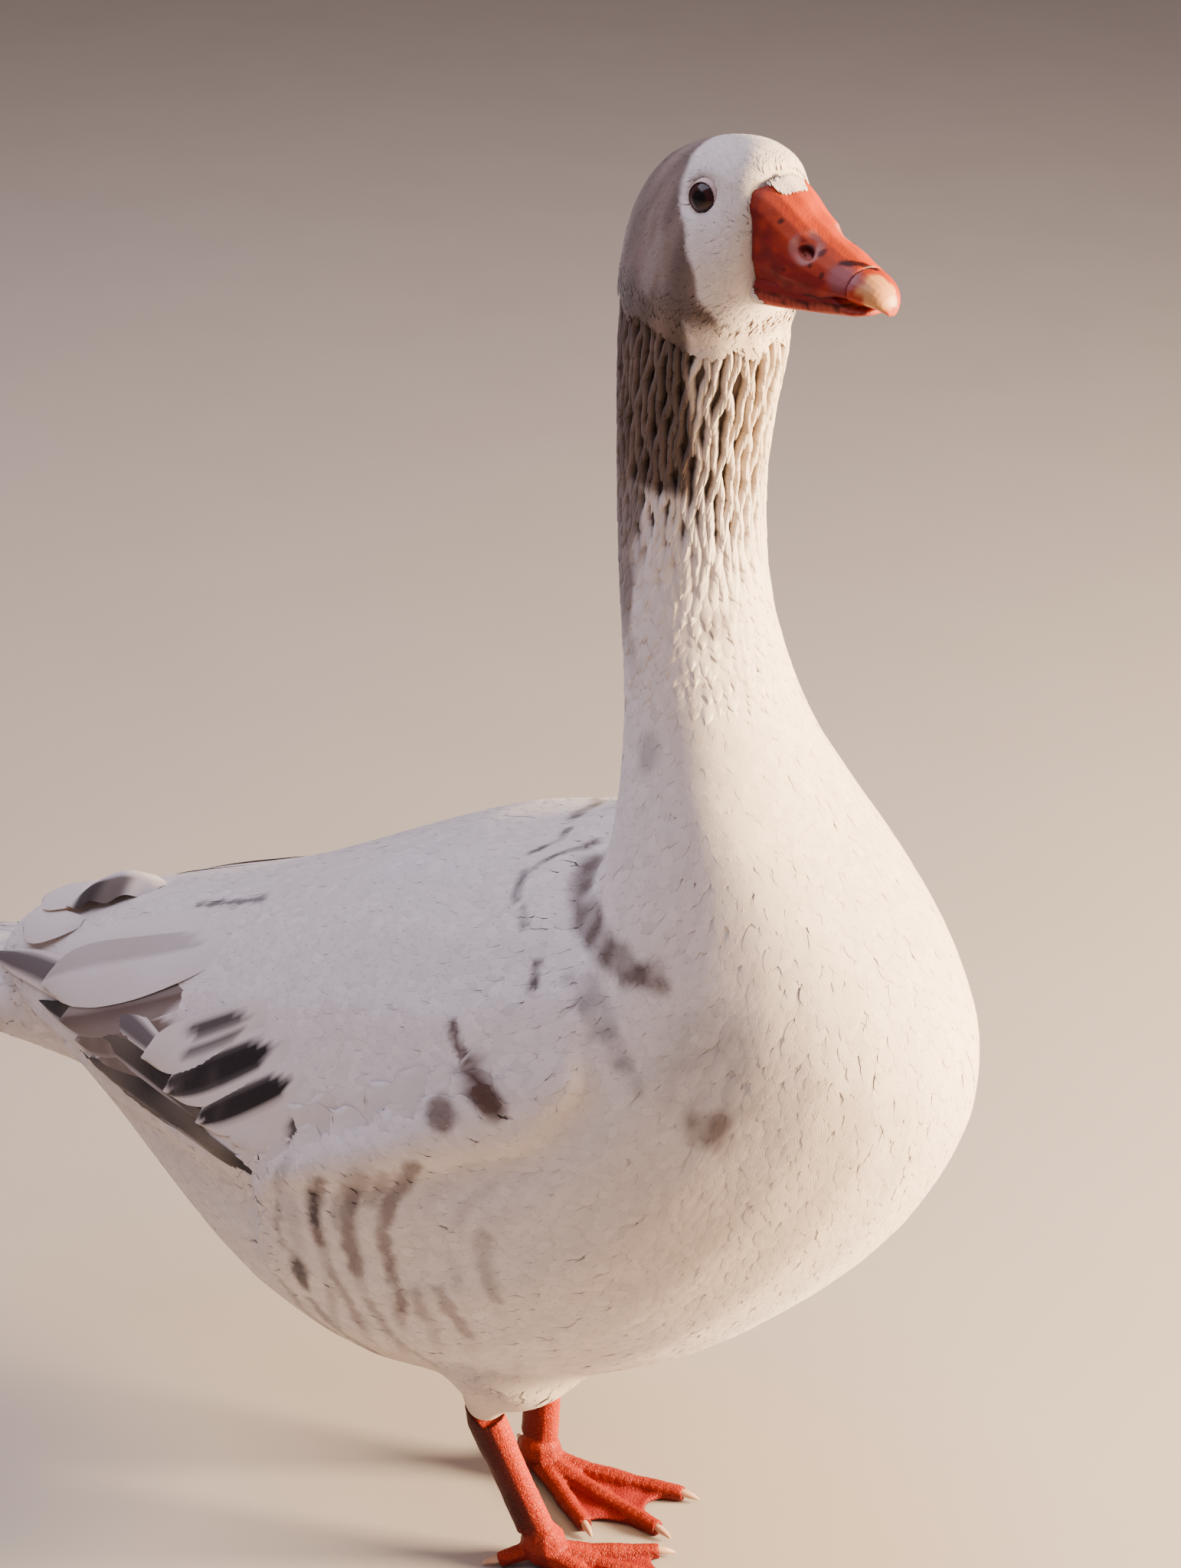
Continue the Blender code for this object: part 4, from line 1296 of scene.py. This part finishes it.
def tail_fan():
    coat = Coat("tail_fan")
    half = (TAIL_QUILLS - 1) / 2
    for rank, index in enumerate(sorted(range(TAIL_QUILLS), key=lambda i: -abs(i - half))):
        share = (index - half) / half
        root = (tail_root - 22, share * 26, tail_top)
        tip = (tail_end + 5 + 18 * share ** 2, share * (tail_side - 6), (tail_bottom + tail_top) / 2 + 6)
        marks = [(SLATE, 0.30, 0.86, 0.1, 0.55, 0.85)] if index % 3 == 1 else []
        quill(coat, root, tip, TAIL_WIDTH, 1.9 + 0.16 * rank, 500 + index, marks=marks, rows=16, columns=9,
              blunt=0.6, wear_and_shade=0.3)
        root = (root[0] - 8, root[1], tail_bottom - 6)
        tip = (tip[0] + 6, tip[1] * 0.96, tail_bottom - 4)
        quill(coat, root, tip, TAIL_WIDTH, 1.7 + 0.12 * rank, 530 + index, rows=12, columns=7, blunt=0.6,
              wear_and_shade=0.2)
    coat.build(quill_finish)


tail_fan()

# %% [markdown]
# One feather on the rump has come loose and curls up, soft and ruffled. Its near half has a brown spot that
# is partly its own brownish underside and partly painted shade of the hollow under its arch. It is a vane
# lifted clear of the coat along its middle. A few loose white feathers lie behind it.

# %% The curled feather and the puffs behind it
def curled_feather():
    rows, columns = 26, 15
    along = np.linspace(0, 1, rows)[:, None]
    across = np.linspace(-1, 1, columns)[None, :]
    start, end = np.array([-0.150, -0.006, 0.308]), np.array([-0.208, -0.018, 0.286])
    half = 14 * MM * np.sin(math.pi * (along * 0.84 + 0.08)) ** 0.6
    arch = 13 * MM * np.sin(math.pi * along ** 0.9) + 3 * MM
    ruffle = 1.6 * MM * np.sin(along * 19 + across * 3.1) * np.abs(across) ** 1.5
    middle = start + (end - start) * along[..., None]
    grid = middle + np.array([-0.25, -0.95, 0]) * (across * half)[..., None]
    grid = grid + np.array([0, 0, 1.0]) * (arch * (1 - 0.85 * across ** 2) + ruffle)[..., None]
    lengthwise, sideways = np.repeat(along, columns), np.tile(across, rows).ravel()
    # The spot is partly the feather's own brown and partly painted shade of the hollow under the arch.
    spot = step_up(sideways, 0.22, 0.40) * step_up(lengthwise, 0.18, 0.30)
    spot = spot * (1 - step_up(lengthwise, 0.78, 0.88))
    brown = layered(DUSKY * 0.6, [(BAND * 0.6, step_up(lengthwise, 0.45, 0.6))])
    colour = layered(WHITE, [(brown, spot * 0.95)])
    coat = Coat("curled_feather")
    coat.add(grid[None], colour.reshape((1,) + grid.shape), surface.map_spots(grid[0, :1]), 0.066, 0.030)
    coat.build(quill_finish)


def rump_puffs():
    coat = Coat("rump_puffs")
    for index, (root, tip, width, lift) in enumerate([
            ((-186, -30, 285), (-236, -24, 268), 20, 8.0),
            ((-184, -12, 292), (-232, -8, 274), 22, 9.5),
            ((-196, 8, 288), (-240, 10, 270), 22, 7.5)]):
        quill(coat, root, tip, width, lift, 640 + index, 0.05, rows=14, columns=9, blunt=0.6, root_lift=0.5)
    coat.build(quill_finish)


curled_feather()
rump_puffs()

# %% [markdown]
# ## The bill
# A goose's bill is horn with a leathery skin: a wide orange wedge, a pale nail at its tip, a nostril in a
# shallow basin on each side, and a wavy mouth edge with comb-like plates. It could be cut with booleans,
# but their edges would be too sharp for something so worn. The construction's plain wedge is remeshed
# finely, and then its vertices are moved to carve what is small.

# %% Fine copies of hard parts
def fine_copy(nodes, name, voxel, grow=0.25 * MM, rounds=5):
    """Copies of construction solids, joined where they are several, on an even fine mesh."""
    copies = grown_copies(nodes, name, grow)
    made = joined(copies) if len(copies) > 1 else copies[0]
    made.name = name
    apply_modifier(made, "REMESH", mode="VOXEL", voxel_size=voxel)
    apply_modifier(made, "SMOOTH", factor=0.5, iterations=rounds)
    made.data.shade_smooth()
    return made


def register(thing, slot, *nodes):
    """Makes a piece part of the goose, in place of the construction solids it stands for."""
    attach(thing, "root")
    if nodes:
        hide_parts(*nodes)
    print(thing.name, "has", len(thing.data.polygons), "faces")


bill = fine_copy(["bill_upper"], "upper_bill", 0.7 * MM)
nail = fine_copy(["bill_nail"], "nail_of_bill", 0.55 * MM, 0.35 * MM, 4)
lower_bill = fine_copy(["bill_lower"], "lower_bill", 0.7 * MM)
print("bill meshed")

# %% [markdown]
# Both sides of the bill are worked on at once: with the head straight, a point's side is dropped by taking
# its distance from the middle plane. Oblong marks are measured along and across the bill's downward slope,
# and small round ones in millimetres from the mouth.

# %% Marks on the bill
BILL_SLOPE = math.radians(-32)
NOSTRIL = (78.3 * MM, MOUTH_Z + 20 * MM)
HOLE = (79.6 * MM, MOUTH_Z + 18.4 * MM)


def oblong(points, centre, long, short):
    """Distance from an oblong mark seen from the side: 1 on its edge."""
    x, z = points[:, 0] - centre[0], points[:, 2] - centre[1]
    along = x * math.cos(BILL_SLOPE) + z * math.sin(BILL_SLOPE)
    across = -x * math.sin(BILL_SLOPE) + z * math.cos(BILL_SLOPE)
    return np.sqrt((along / (long * MM)) ** 2 + (across / (short * MM)) ** 2)


def from_mark(points, x, up, reach):
    """How many reaches away a small mark is, seen from the side."""
    return np.linalg.norm((points[:, [0, 2]] - [x * MM, MOUTH_Z + up * MM]) / (reach * MM), axis=1)


def mouth_edge(points):
    """The height of the dark line above the upper bill's comb plates."""
    x = points[:, 0]
    rise = np.interp(x, [0.050, 0.060, 0.072, 0.084, 0.095, 0.115],
                     np.array([-3.2, -3.2, -2.4, 0.2, 1.2, 0.4]) * MM)
    return MOUTH_Z + 0.4 * MM + rise + 0.35 * MM * np.sin(x / (2.1 * MM))


def off_middle(points, near, far):
    return step_up(np.abs(points[:, 1]), near * MM, far * MM)


print("the nostril is", round((NOSTRIL[1] - MOUTH_Z) / MM), "mm above the mouth")

# %% [markdown]
# The nostrils and the mouth's line are pressed in, the gape and the ridge raised. The bill's upper rear
# corners are drawn back under the feathers, and its lower edge hangs over the lower bill, whose rear part
# rises to meet it.

# %% Carve the nostrils, the mouth edge and the gape
def carve_bill(thing):
    at, out = places_of(thing), normals_of(thing)
    head = straight(at)
    side = off_middle(head, 4, 8)
    basin = 1 - step_up(oblong(head, NOSTRIL, 7.4, 5.2), 0.35, 1.05)
    hole = 1 - step_up(oblong(head, HOLE, 4.1, 2.3), 0.70, 1.05)
    line = hump(head[:, 2], mouth_edge(head), 0.75 * MM)
    ridge = hump(head[:, 1], 0, 5 * MM) * step_up(out[:, 2], 0.3, 0.8)
    push = -1.1 * MM * basin * side - 3.4 * MM * hole * side - 0.8 * MM * line * side
    push += 2.4 * MM * hump(from_mark(head, 50, 0.5, 4.2), 0, 1) + 0.5 * MM * ridge
    push += 0.25 * MM * waves(at, 9 * MM, 201)
    corner = hump(from_mark(head, 50, 37, 8), 0, 1) * off_middle(head, 8, 14)
    hang = step_up(MOUTH_Z + 6 * MM - head[:, 2], 0, 5.5 * MM)
    hang *= 1 - step_up(head[:, 0], 84 * MM, 101 * MM)
    head[:, 0] -= 3.0 * MM * corner
    head[:, 2] -= 4.2 * MM * hang
    move_vertices(thing, turned(head) + out * (push + 1.8 * MM * corner)[:, None])


def raise_lower_bill(thing):
    at = places_of(thing)
    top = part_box("bill_lower")[1].z
    raised = step_up(at[:, 2], top - 5 * MM, top - 1 * MM)
    at[:, 2] += 5.0 * MM * raised * (1 - step_up(straight(at)[:, 0], 92 * MM, 104 * MM))
    move_vertices(thing, at)


carve_bill(bill)
raise_lower_bill(lower_bill)
print("bill carved")

# %% [markdown]
# The bill is painted brighter orange where it faces up and darker brick red at the sides, as painted light
# and shade. It is pale round the nostril, painted dark as shade inside the nostril's hole, dark in its small
# marks and in the crack before the nail, with a mauve bruise near the tip.

# %% Colours of the upper bill
ORANGE = screen(194, 66, 20)
BRICK = screen(134, 34, 32)
DARK_RED = screen(98, 23, 20)
PALE_GREY = screen(186, 132, 124)
COMB = screen(168, 72, 54)
NAIL = screen(228, 162, 104)
MAUVE = screen(158, 98, 102)
MOUTH = MOUTH_Z / MM
CRACK = [(95.5, -8.5, MOUTH + 17), (98.5, -4, MOUTH + 16.4), (104.5, 3, MOUTH + 13.6)]
PITS = [(85.6, 19, 1.6), (64.3, 29, 1.3), (90.2, 11, 1.4), (71, 10, 1.0), (83.5, 14, 1.1)]


def crack_share(at):
    return stroke(straight(at) + 0.5 * MM * waves(at, 3 * MM, 215)[:, None], CRACK, 2.6) * 0.95


def horn_colour(at, out):
    """The orange of the bill: painted light above, brick red as painted shade at the sides, with its small
    marks.
    """
    head = straight(at)
    side = off_middle(head, 4, 8)
    # Painted light and shade: horn that faces up is painted orange, the sides stay brick red.
    painted_top_light = step_up(out[:, 2] + 0.12 * waves(at, 12 * MM, 210), 0.10, 0.70)
    mottle = np.clip(0.6 * waves(at * [1, 1, 1.6], 6 * MM, 212), 0, 0.55) * (1 - 0.8 * painted_top_light)
    rear = step_up(54.5 * MM + 1.2 * MM * waves(at, 4 * MM, 213) - head[:, 0], 0, 3.5 * MM)
    rim = 1 - step_up(np.abs(oblong(head, NOSTRIL, 6.6, 5.4) - 0.85), 0.12, 0.42)
    # Painted shade: the bottom of the nostril's hole is darkened red.
    inner = 1 - step_up(oblong(head, HOLE, 4.3, 2.8), 0.65, 1.1)
    below = step_up(mouth_edge(head) - head[:, 2], 0, 0.8 * MM)
    plates = 0.5 + 0.5 * np.cos(math.tau * head[:, 0] / (3.4 * MM))
    comb = layered(COMB, [(DARK_RED, step_up(plates, 0.55, 0.95) * 0.4)])
    front = 1 - step_up(head[:, 0], 92 * MM, 100 * MM)
    line = hump(head[:, 2], mouth_edge(head), 0.8 * MM)
    pits = [(DARK_RED * 0.4, (1 - step_up(from_mark(head, *pit), 0.6, 1.2)) * side * 0.8) for pit in PITS]
    return layered(BRICK, [
        (ORANGE, painted_top_light),
        (ORANGE, np.clip(0.25 * waves(at, 5 * MM, 211), 0, 1)),
        (DARK_RED, mottle),
        (DARK_RED, rear * 0.55),
        (PALE_GREY, rim * side * np.clip(0.55 + 0.3 * waves(at, 5 * MM, 214), 0.1, 0.8)),
        (DARK_RED * 0.55, inner * side),
        (comb, below * side * front * 0.85),
        (DARK_RED * 0.4, np.clip(line * side * 1.1, 0, 1) * (0.35 + 0.65 * front)),
        *pits,
        (MAUVE, ball(head, (98.5, -10, MOUTH + 11), (9, 9, 8)) * 0.75),
        (DARK_RED * 0.25, crack_share(at))])


paint(bill, horn_colour(places_of(bill), normals_of(bill)))
print("upper bill painted")

# %% [markdown]
# The nail is pale at its middle. The lower bill shows from the mouth down: a dark wavy line, comb plates,
# a red slit, and an orange lower band.

# %% Colours of the nail and the lower bill
def nail_colour(at):
    pale = straight(at) + 1.0 * MM * waves(at, 4 * MM, 220)[:, None]
    pale = ball(pale, (114, -4, MOUTH + 7.5), (10, 9.5, 11))
    return layered(toward(ORANGE, BRICK, 0.35), [
        (NAIL, np.clip(pale * 1.5, 0, 1)),
        (MAUVE, ball(straight(at), (100.5, -10, MOUTH + 11), (8, 9, 8)) * 0.8),
        (DARK_RED * 0.25, crack_share(at))])


def lower_colour(at):
    head = straight(at)
    side = off_middle(head, 3, 6)
    x, z = head[:, 0], head[:, 2] - MOUTH_Z
    plates = 0.5 + 0.5 * np.cos(math.tau * x / (3.2 * MM))
    stains = step_up(waves(at * [1, 1, 0.6], 4 * MM, 231), 0.45, 0.8)
    comb = layered(COMB, [(DARK_RED, step_up(plates, 0.6, 0.95) * 0.35), (DARK_RED * 0.5, stains * 0.8)])
    slit_z = np.interp(x, [0.055, 0.090, 0.104], np.array([-8.0, -6.4, -4.0]) * MM)
    wavy = slit_z + 4.4 * MM + 0.5 * MM * np.sin(x / (3.4 * MM))
    return layered(ORANGE, [
        (BRICK, np.clip(0.4 + 0.4 * waves(at, 8 * MM, 230), 0, 1)),
        (comb, step_up(z, slit_z, slit_z + 0.8 * MM) * side),
        (screen(158, 16, 12), hump(z, slit_z, 0.8 * MM) * side),
        (BRICK, step_up(z, wavy, wavy + 1.2 * MM) * side),
        (DARK_RED * 0.35, hump(z, wavy, 0.75 * MM) * side * 0.9)])


paint(nail, nail_colour(places_of(nail)))
paint(lower_bill, lower_colour(places_of(lower_bill)))
print("nail and lower bill painted")

# %% [markdown]
# The horn is moist and leathery, with fine pores and faint streaks, and glossier on the nail.

# %% Horn material
def horn_finish(name, roughness, bump, coat):
    made = Finish(name)
    patches = made.noise(120.0, 4.0)
    colour = made.blend("MULTIPLY", patches * 0.35, made.tint(), (0.72, 0.60, 0.55, 1))
    return made.done(Base_Color=colour, Roughness=patches * 0.25 + roughness, Coat_Weight=coat,
                     Coat_Roughness=0.3, Specular_IOR_Level=0.22,
                     Normal=made.bump(made.noise(900.0, 2.0) * 0.4 + patches, bump))


bill_horn = horn_finish("bill horn", 0.40, 0.35 * MM, 0.04)
nail_horn = horn_finish("bill nail", 0.30, 0.15 * MM, 0.2)
for thing, horn, slot, node in ((bill, bill_horn, "bill_horn", "bill_upper"),
                                (lower_bill, bill_horn, "bill_horn", "bill_lower"),
                                (nail, nail_horn, "bill_nail", "bill_nail")):
    thing.data.materials.append(horn)
    register(thing, slot, node)

# %% [markdown]
# ## Feathers over the rim of the bill
# The forehead's feathers run down over the top of the bill in a round lobe, and the cheek's run forward
# under the corner of the mouth. They are laid on the skin and the bill as if these were one surface.

# %% Roots along the rim
def joined_ground(*things):
    copies = []
    for thing in things:
        twin = thing.copy()
        twin.data = thing.data.copy()
        bpy.context.scene.collection.objects.link(twin)
        copies.append(twin)
    together = joined(copies)
    ground = Surface(together)
    bpy.data.objects.remove(together)
    return ground


def rim_places():
    """Places round the rim, in the straight head's millimetres: the forehead's lobe and the cheeks."""
    source = np.random.default_rng(61)
    number = 11000
    x, y = source.uniform(38, 64, number), source.uniform(-19, 19, number)
    z = source.uniform(703, 777, number)
    lobe_edge = 63.0 - 18.5 * step_up(np.abs(y), 7.0, 15.5)
    lobe = (z > 751) & (x < lobe_edge) & (x > 45)
    y[lobe] *= 0.95
    cheek = (z < 719) & (x < np.interp(z, [703, 708, 712, 716, 719], [58, 58.5, 57.0, 53.0, 50.0]))
    y[cheek] = np.sign(y[cheek]) * 19
    z[lobe] = 777 - 0.55 * (x[lobe] - 38)
    places = np.stack([x, y, z], axis=1)[lobe | cheek] * MM
    places[:, 2] += CROWN_Z - 0.777
    return turned(places)


over_bill = joined_ground(skin, bill, lower_bill)
rim_roots, _, _, _ = over_bill.drop(rim_places())
rim_roots = thin_out(rim_roots, np.full(len(rim_roots), 0.85 * MM))
head = straight(rim_roots)
above = head[:, 2] > 0.74
rim_roots = rim_roots[(above & (head[:, 0] > 45 * MM)) | (~above & (np.abs(head[:, 1]) > 6 * MM))]
print(len(rim_roots), "feathers on the rim")

# %% [markdown]
# The lobe's feathers lean up the forehead's foot and stand thickest just behind its edge, so that they
# cover the step down to the horn.

# %% The lobe on the forehead and the points under the mouth
def rim_feathers(roots):
    head = straight(roots)
    above = head[:, 2] > 0.74
    up, down = -AHEAD + np.array([0, 0, 0.45]), -AHEAD + np.array([0, 0, -0.25])
    number = len(roots)
    source = np.random.default_rng(62)
    way = np.where(above[:, None], up, down) + source.normal(scale=0.08, size=(number, 3))
    length = np.full(number, 4.6 * MM) * source.uniform(0.85, 1.15, number)
    rearmost = 1 - step_up(head[:, 0], 46 * MM, 54 * MM)
    pad = hump(head[:, 0], 53.5 * MM, 5 * MM) * np.clip(1 - (head[:, 1] / (14 * MM)) ** 2, 0, 1)
    lift = 0.5 * MM + (0.3 * rearmost + 1.7 * pad) * MM * above
    width = length * 0.36
    grid, spots = lay_feathers(roots, way, length, width, lift, rows=4, columns=3, camber=0.05, fray=0.0,
                               seed=63, root_lift=0.35, blunt=0.1, ground_of=over_bill)
    build_coat("coat_bill_rim", grid, coat_colour_of(grid), spots, length, width, 64)


rim_feathers(rim_roots)

# %% [markdown]
# ## The eyes
# Each eye is a wet brown ball of which the lids leave an upright oval showing. The pupil is wide and the
# iris dark. A glass shell over an iris would be truer close up, but a clear coat on one ball gives the
# same glint. A thin pink lid ring, thicker above, seals the ball against the feathers.

# %% Eyeballs
def eye_axis(word):
    """The way each eye looks: outwards, a little forwards and up."""
    aside = -1 if word == "right" else 1
    return Vector(turned_way([0.24, 0.96 * aside, 0.10])).normalized()


def eye_finish(word):
    made = Finish(f"eye_{word}")
    streaks = made.noise(600.0, 2.0)
    return made.done(
        Base_Color=made.blend("MULTIPLY", streaks * 0.4, made.tint(), (0.4, 0.3, 0.3, 1)),
        Roughness=streaks * 0.05 + 0.16, Specular_IOR_Level=0.25, Coat_Weight=0.35, Coat_Roughness=0.04)


def make_eye(word):
    deselect()
    bpy.ops.mesh.primitive_uv_sphere_add(segments=48, ring_count=32, radius=EYE_RADIUS)
    eyeball = bpy.context.object
    eyeball.name = f"eyeball_{word}"
    turn = eye_axis(word).to_track_quat("Z", "Y").to_matrix().to_4x4()
    eyeball.data.transform(Matrix.Translation(EYES[word]) @ turn)
    eyeball.data.shade_smooth()
    share = (places_of(eyeball) - np.array(EYES[word])) @ np.array(eye_axis(word)) / EYE_RADIUS
    angle = np.degrees(np.arccos(np.clip(share, -1, 1)))
    paint(eyeball, layered(screen(58, 24, 22), [
        (screen(24, 12, 12), step_up(angle, 40, 58)),
        (screen(5, 3, 4), 1 - step_up(angle, 22, 27))]))
    eyeball.data.materials.append(eye_finish(word))
    register(eyeball, "eye", f"eye_{word}")


for word in ("left", "right"):
    make_eye(word)

# %% [markdown]
# A lid is a torus laid on the ball. Its ring is squeezed upright, each point is pushed out to the ball's
# surface, and small folds are pressed in across it.

# %% Lids
LID_WIDE, LID_TALL = 7.0 * MM, 7.35 * MM


def lid_places(word, ring):
    """Where the points of a torus go to lie round the eye."""
    radius = np.linalg.norm(ring[:, :2], axis=1)
    angle = np.arctan2(ring[:, 1], ring[:, 0])
    thick = 1 + 0.35 * np.clip(np.sin(angle), 0, 1) + 0.10 * np.sin(angle * 23)
    reach = np.stack([np.cos(angle) * LID_WIDE, np.sin(angle) * LID_TALL], axis=1)
    flat = np.linalg.norm(reach, axis=1)
    out = (radius - 1) * 4.2 * MM * thick
    spread = reach * ((flat + out) / flat)[:, None]
    away = np.linalg.norm(spread, axis=1)
    rise = np.sqrt(np.maximum((EYE_RADIUS + 0.1 * MM) ** 2 - np.minimum(away, EYE_RADIUS * 0.97) ** 2, 0))
    rise += ring[:, 2] * 5.0 * MM * thick - np.clip(out, 0, 1) * 0.9
    forward = eye_axis(word)
    up = (Vector((0, 0, 1)) - forward * forward.z).normalized()
    aside = up.cross(forward)
    return (np.array(EYES[word]) + spread[:, :1] * np.array(aside) + spread[:, 1:] * np.array(up)
            + rise[:, None] * np.array(forward))


def lid_finish(word):
    made = Finish(f"lid_{word}")
    wrinkles = made.noise(1500.0, 3.0)
    return made.done(
        Base_Color=made.blend("MULTIPLY", wrinkles * 0.3, made.tint(), (0.8, 0.6, 0.6, 1)), Roughness=0.45,
        Normal=made.bump(wrinkles, 0.12 * MM))


def make_lid(word):
    deselect()
    bpy.ops.mesh.primitive_torus_add(major_segments=72, minor_segments=12, major_radius=1, minor_radius=0.16)
    lid = bpy.context.object
    lid.name = f"lid_{word}"
    ring = places_of(lid)
    move_vertices(lid, lid_places(word, ring))
    edit_all(lid, lambda: bpy.ops.mesh.normals_make_consistent(inside=False))
    lid.data.shade_smooth()
    inner = step_up(1 - np.linalg.norm(ring[:, :2], axis=1), 0.02, 0.14)
    paint(lid, layered(screen(214, 190, 184), [(screen(96, 52, 48), inner * 0.85)]))
    lid.data.materials.append(lid_finish(word))
    register(lid, "eye")


for word in ("left", "right"):
    make_lid(word)

# %% [markdown]
# ## Legs and feet
# Shank, toes and webs are one scaly skin. Broad scutes cross the front of the shank and the tops of the
# toes. They show in the outline, so they are real relief, while the fine scales between them are only a
# bump.

# %% The leg's material
leg_finish = Finish("leg skin")
scales = leg_finish.node("TexVoronoi", {"feature": "DISTANCE_TO_EDGE"},
                         {"Vector": leg_finish.place(), "Scale": 520.0})
scale_edge = leg_finish.node("MapRange", {}, {"Value": scales, "From Min": 0.0, "From Max": 0.16})
patches = leg_finish.noise(150.0, 3.0)
leg_tone = leg_finish.blend("MULTIPLY", patches * 0.35, leg_finish.tint(), (0.62, 0.42, 0.38, 1))
leg_colour = leg_finish.blend("MULTIPLY", (1 - scale_edge) * 0.30, leg_tone, (0.50, 0.30, 0.28, 1))
leg_material = leg_finish.done(Base_Color=leg_colour, Roughness=patches * 0.2 + 0.42,
                               Specular_IOR_Level=0.25,
                               Normal=leg_finish.bump(scale_edge * 0.8 + patches * 0.5, 0.30 * MM))
print("leg finish has", len(leg_finish.tree.nodes), "nodes")

# %% [markdown]
# Creases part the scutes: bands by height on the shank, rings round the knuckle on the toes. The web
# between the toes ripples, and the soles stay flat on the ground.

# %% Scaly legs
SCUTE = 4.4 * MM


def toe_hub(word):
    """The point from which the toes spread, just behind the shank's foot."""
    low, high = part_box(f"shank_{word}")
    return np.array([high.x, (low.y + high.y) / 2, low.z]) - np.array([9 * MM, 0, 0])


def leg_skin(word):
    leg = fine_copy([f"shank_{word}", f"foot_{word}"], f"leg_{word}", 1.0 * MM, 0.3 * MM, 4)
    at, out = places_of(leg), normals_of(leg)
    z = at[:, 2]
    reach = np.linalg.norm((at - toe_hub(word))[:, :2], axis=1)
    toe = step_up(z, 4.6 * MM, 7.0 * MM) * step_up(out[:, 2], -0.1, 0.4) * (z < 24 * MM)
    front = step_up(out[:, 0] - 0.35 * np.abs(out[:, 1]), -0.1, 0.5) * step_up(z, 17 * MM, 27 * MM)
    web = (1 - step_up(z, 4.2 * MM, 6.0 * MM)) * step_up(out[:, 2], 0.3, 0.8)
    rings = np.abs(np.sin(math.pi * (reach + 0.4 * MM * waves(at, 6 * MM, 301)) / SCUTE))
    bands = np.abs(np.sin(math.pi * (z + 0.5 * MM * waves(at, 8 * MM, 302)) / SCUTE))
    crease = (1 - rings ** 0.45) * toe + (1 - bands ** 0.45) * front
    push = 0.30 * MM * waves(at, 5 * MM, 303) * 0.4 - 0.30 * MM * crease
    push += web * 0.30 * MM * np.sin(reach / (2.6 * MM))
    sole = step_up(1.6 * MM - z, 0, 1.2 * MM)
    moved = at + out * (push * (1 - sole))[:, None]
    moved[:, 2] = np.maximum(np.where(moved[:, 2] < 0.45 * MM, 0, moved[:, 2]), 0)
    move_vertices(leg, moved)
    outer_side = out[:, 1] * (1 if word == "left" else -1)
    shade = step_up(0.9 * outer_side - out[:, 0], -0.3, 0.9) * step_up(z, 14 * MM, 28 * MM)
    # Painted light and shade: brighter orange on the shank's front and toe tops, darker on its outer rear
    # side.
    paint(leg, layered(screen(120, 20, 11), [
        (screen(200, 62, 22), np.clip(front + 0.6 * toe, 0, 1) * 0.75),
        (screen(164, 38, 32), web * 0.7),
        (screen(52, 8, 6), shade * 0.8),
        (screen(150, 40, 28), np.clip(crease * 0.6, 0, 0.4)),
        (screen(160, 36, 34), np.clip(0.6 * waves(at, 16 * MM, 304), 0, 0.5) * (web + 0.25))]))
    leg.data.materials.append(leg_material)
    register(leg, "leg_skin", f"shank_{word}", f"foot_{word}")


for word in ("left", "right"):
    leg_skin(word)

# %% [markdown]
# A goose's claws are blunt and pale. The construction's already have the right curve, so they are only
# smoothed by subdivision, with a horn between pale and brownish.

# %% Claws
claw_finish = Finish("claw horn")
streaks = claw_finish.noise(300.0, 3.0)
claw_material = claw_finish.done(
    Base_Color=claw_finish.blend("MIX", streaks, (*screen(222, 186, 160), 1), (*screen(178, 132, 112), 1)),
    Roughness=streaks * 0.15 + 0.34, Normal=claw_finish.bump(streaks, 0.1 * MM))
for node in sorted(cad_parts):
    if node.startswith("claw_"):
        claw = copy_of(node, f"horn_{node}")
        apply_modifier(claw, "SUBSURF", levels=2, render_levels=2)
        at = places_of(claw)
        at[:, 2] = np.maximum(at[:, 2], 0)
        move_vertices(claw, at)
        claw.data.materials.append(claw_material)
        register(claw, "claw", node)
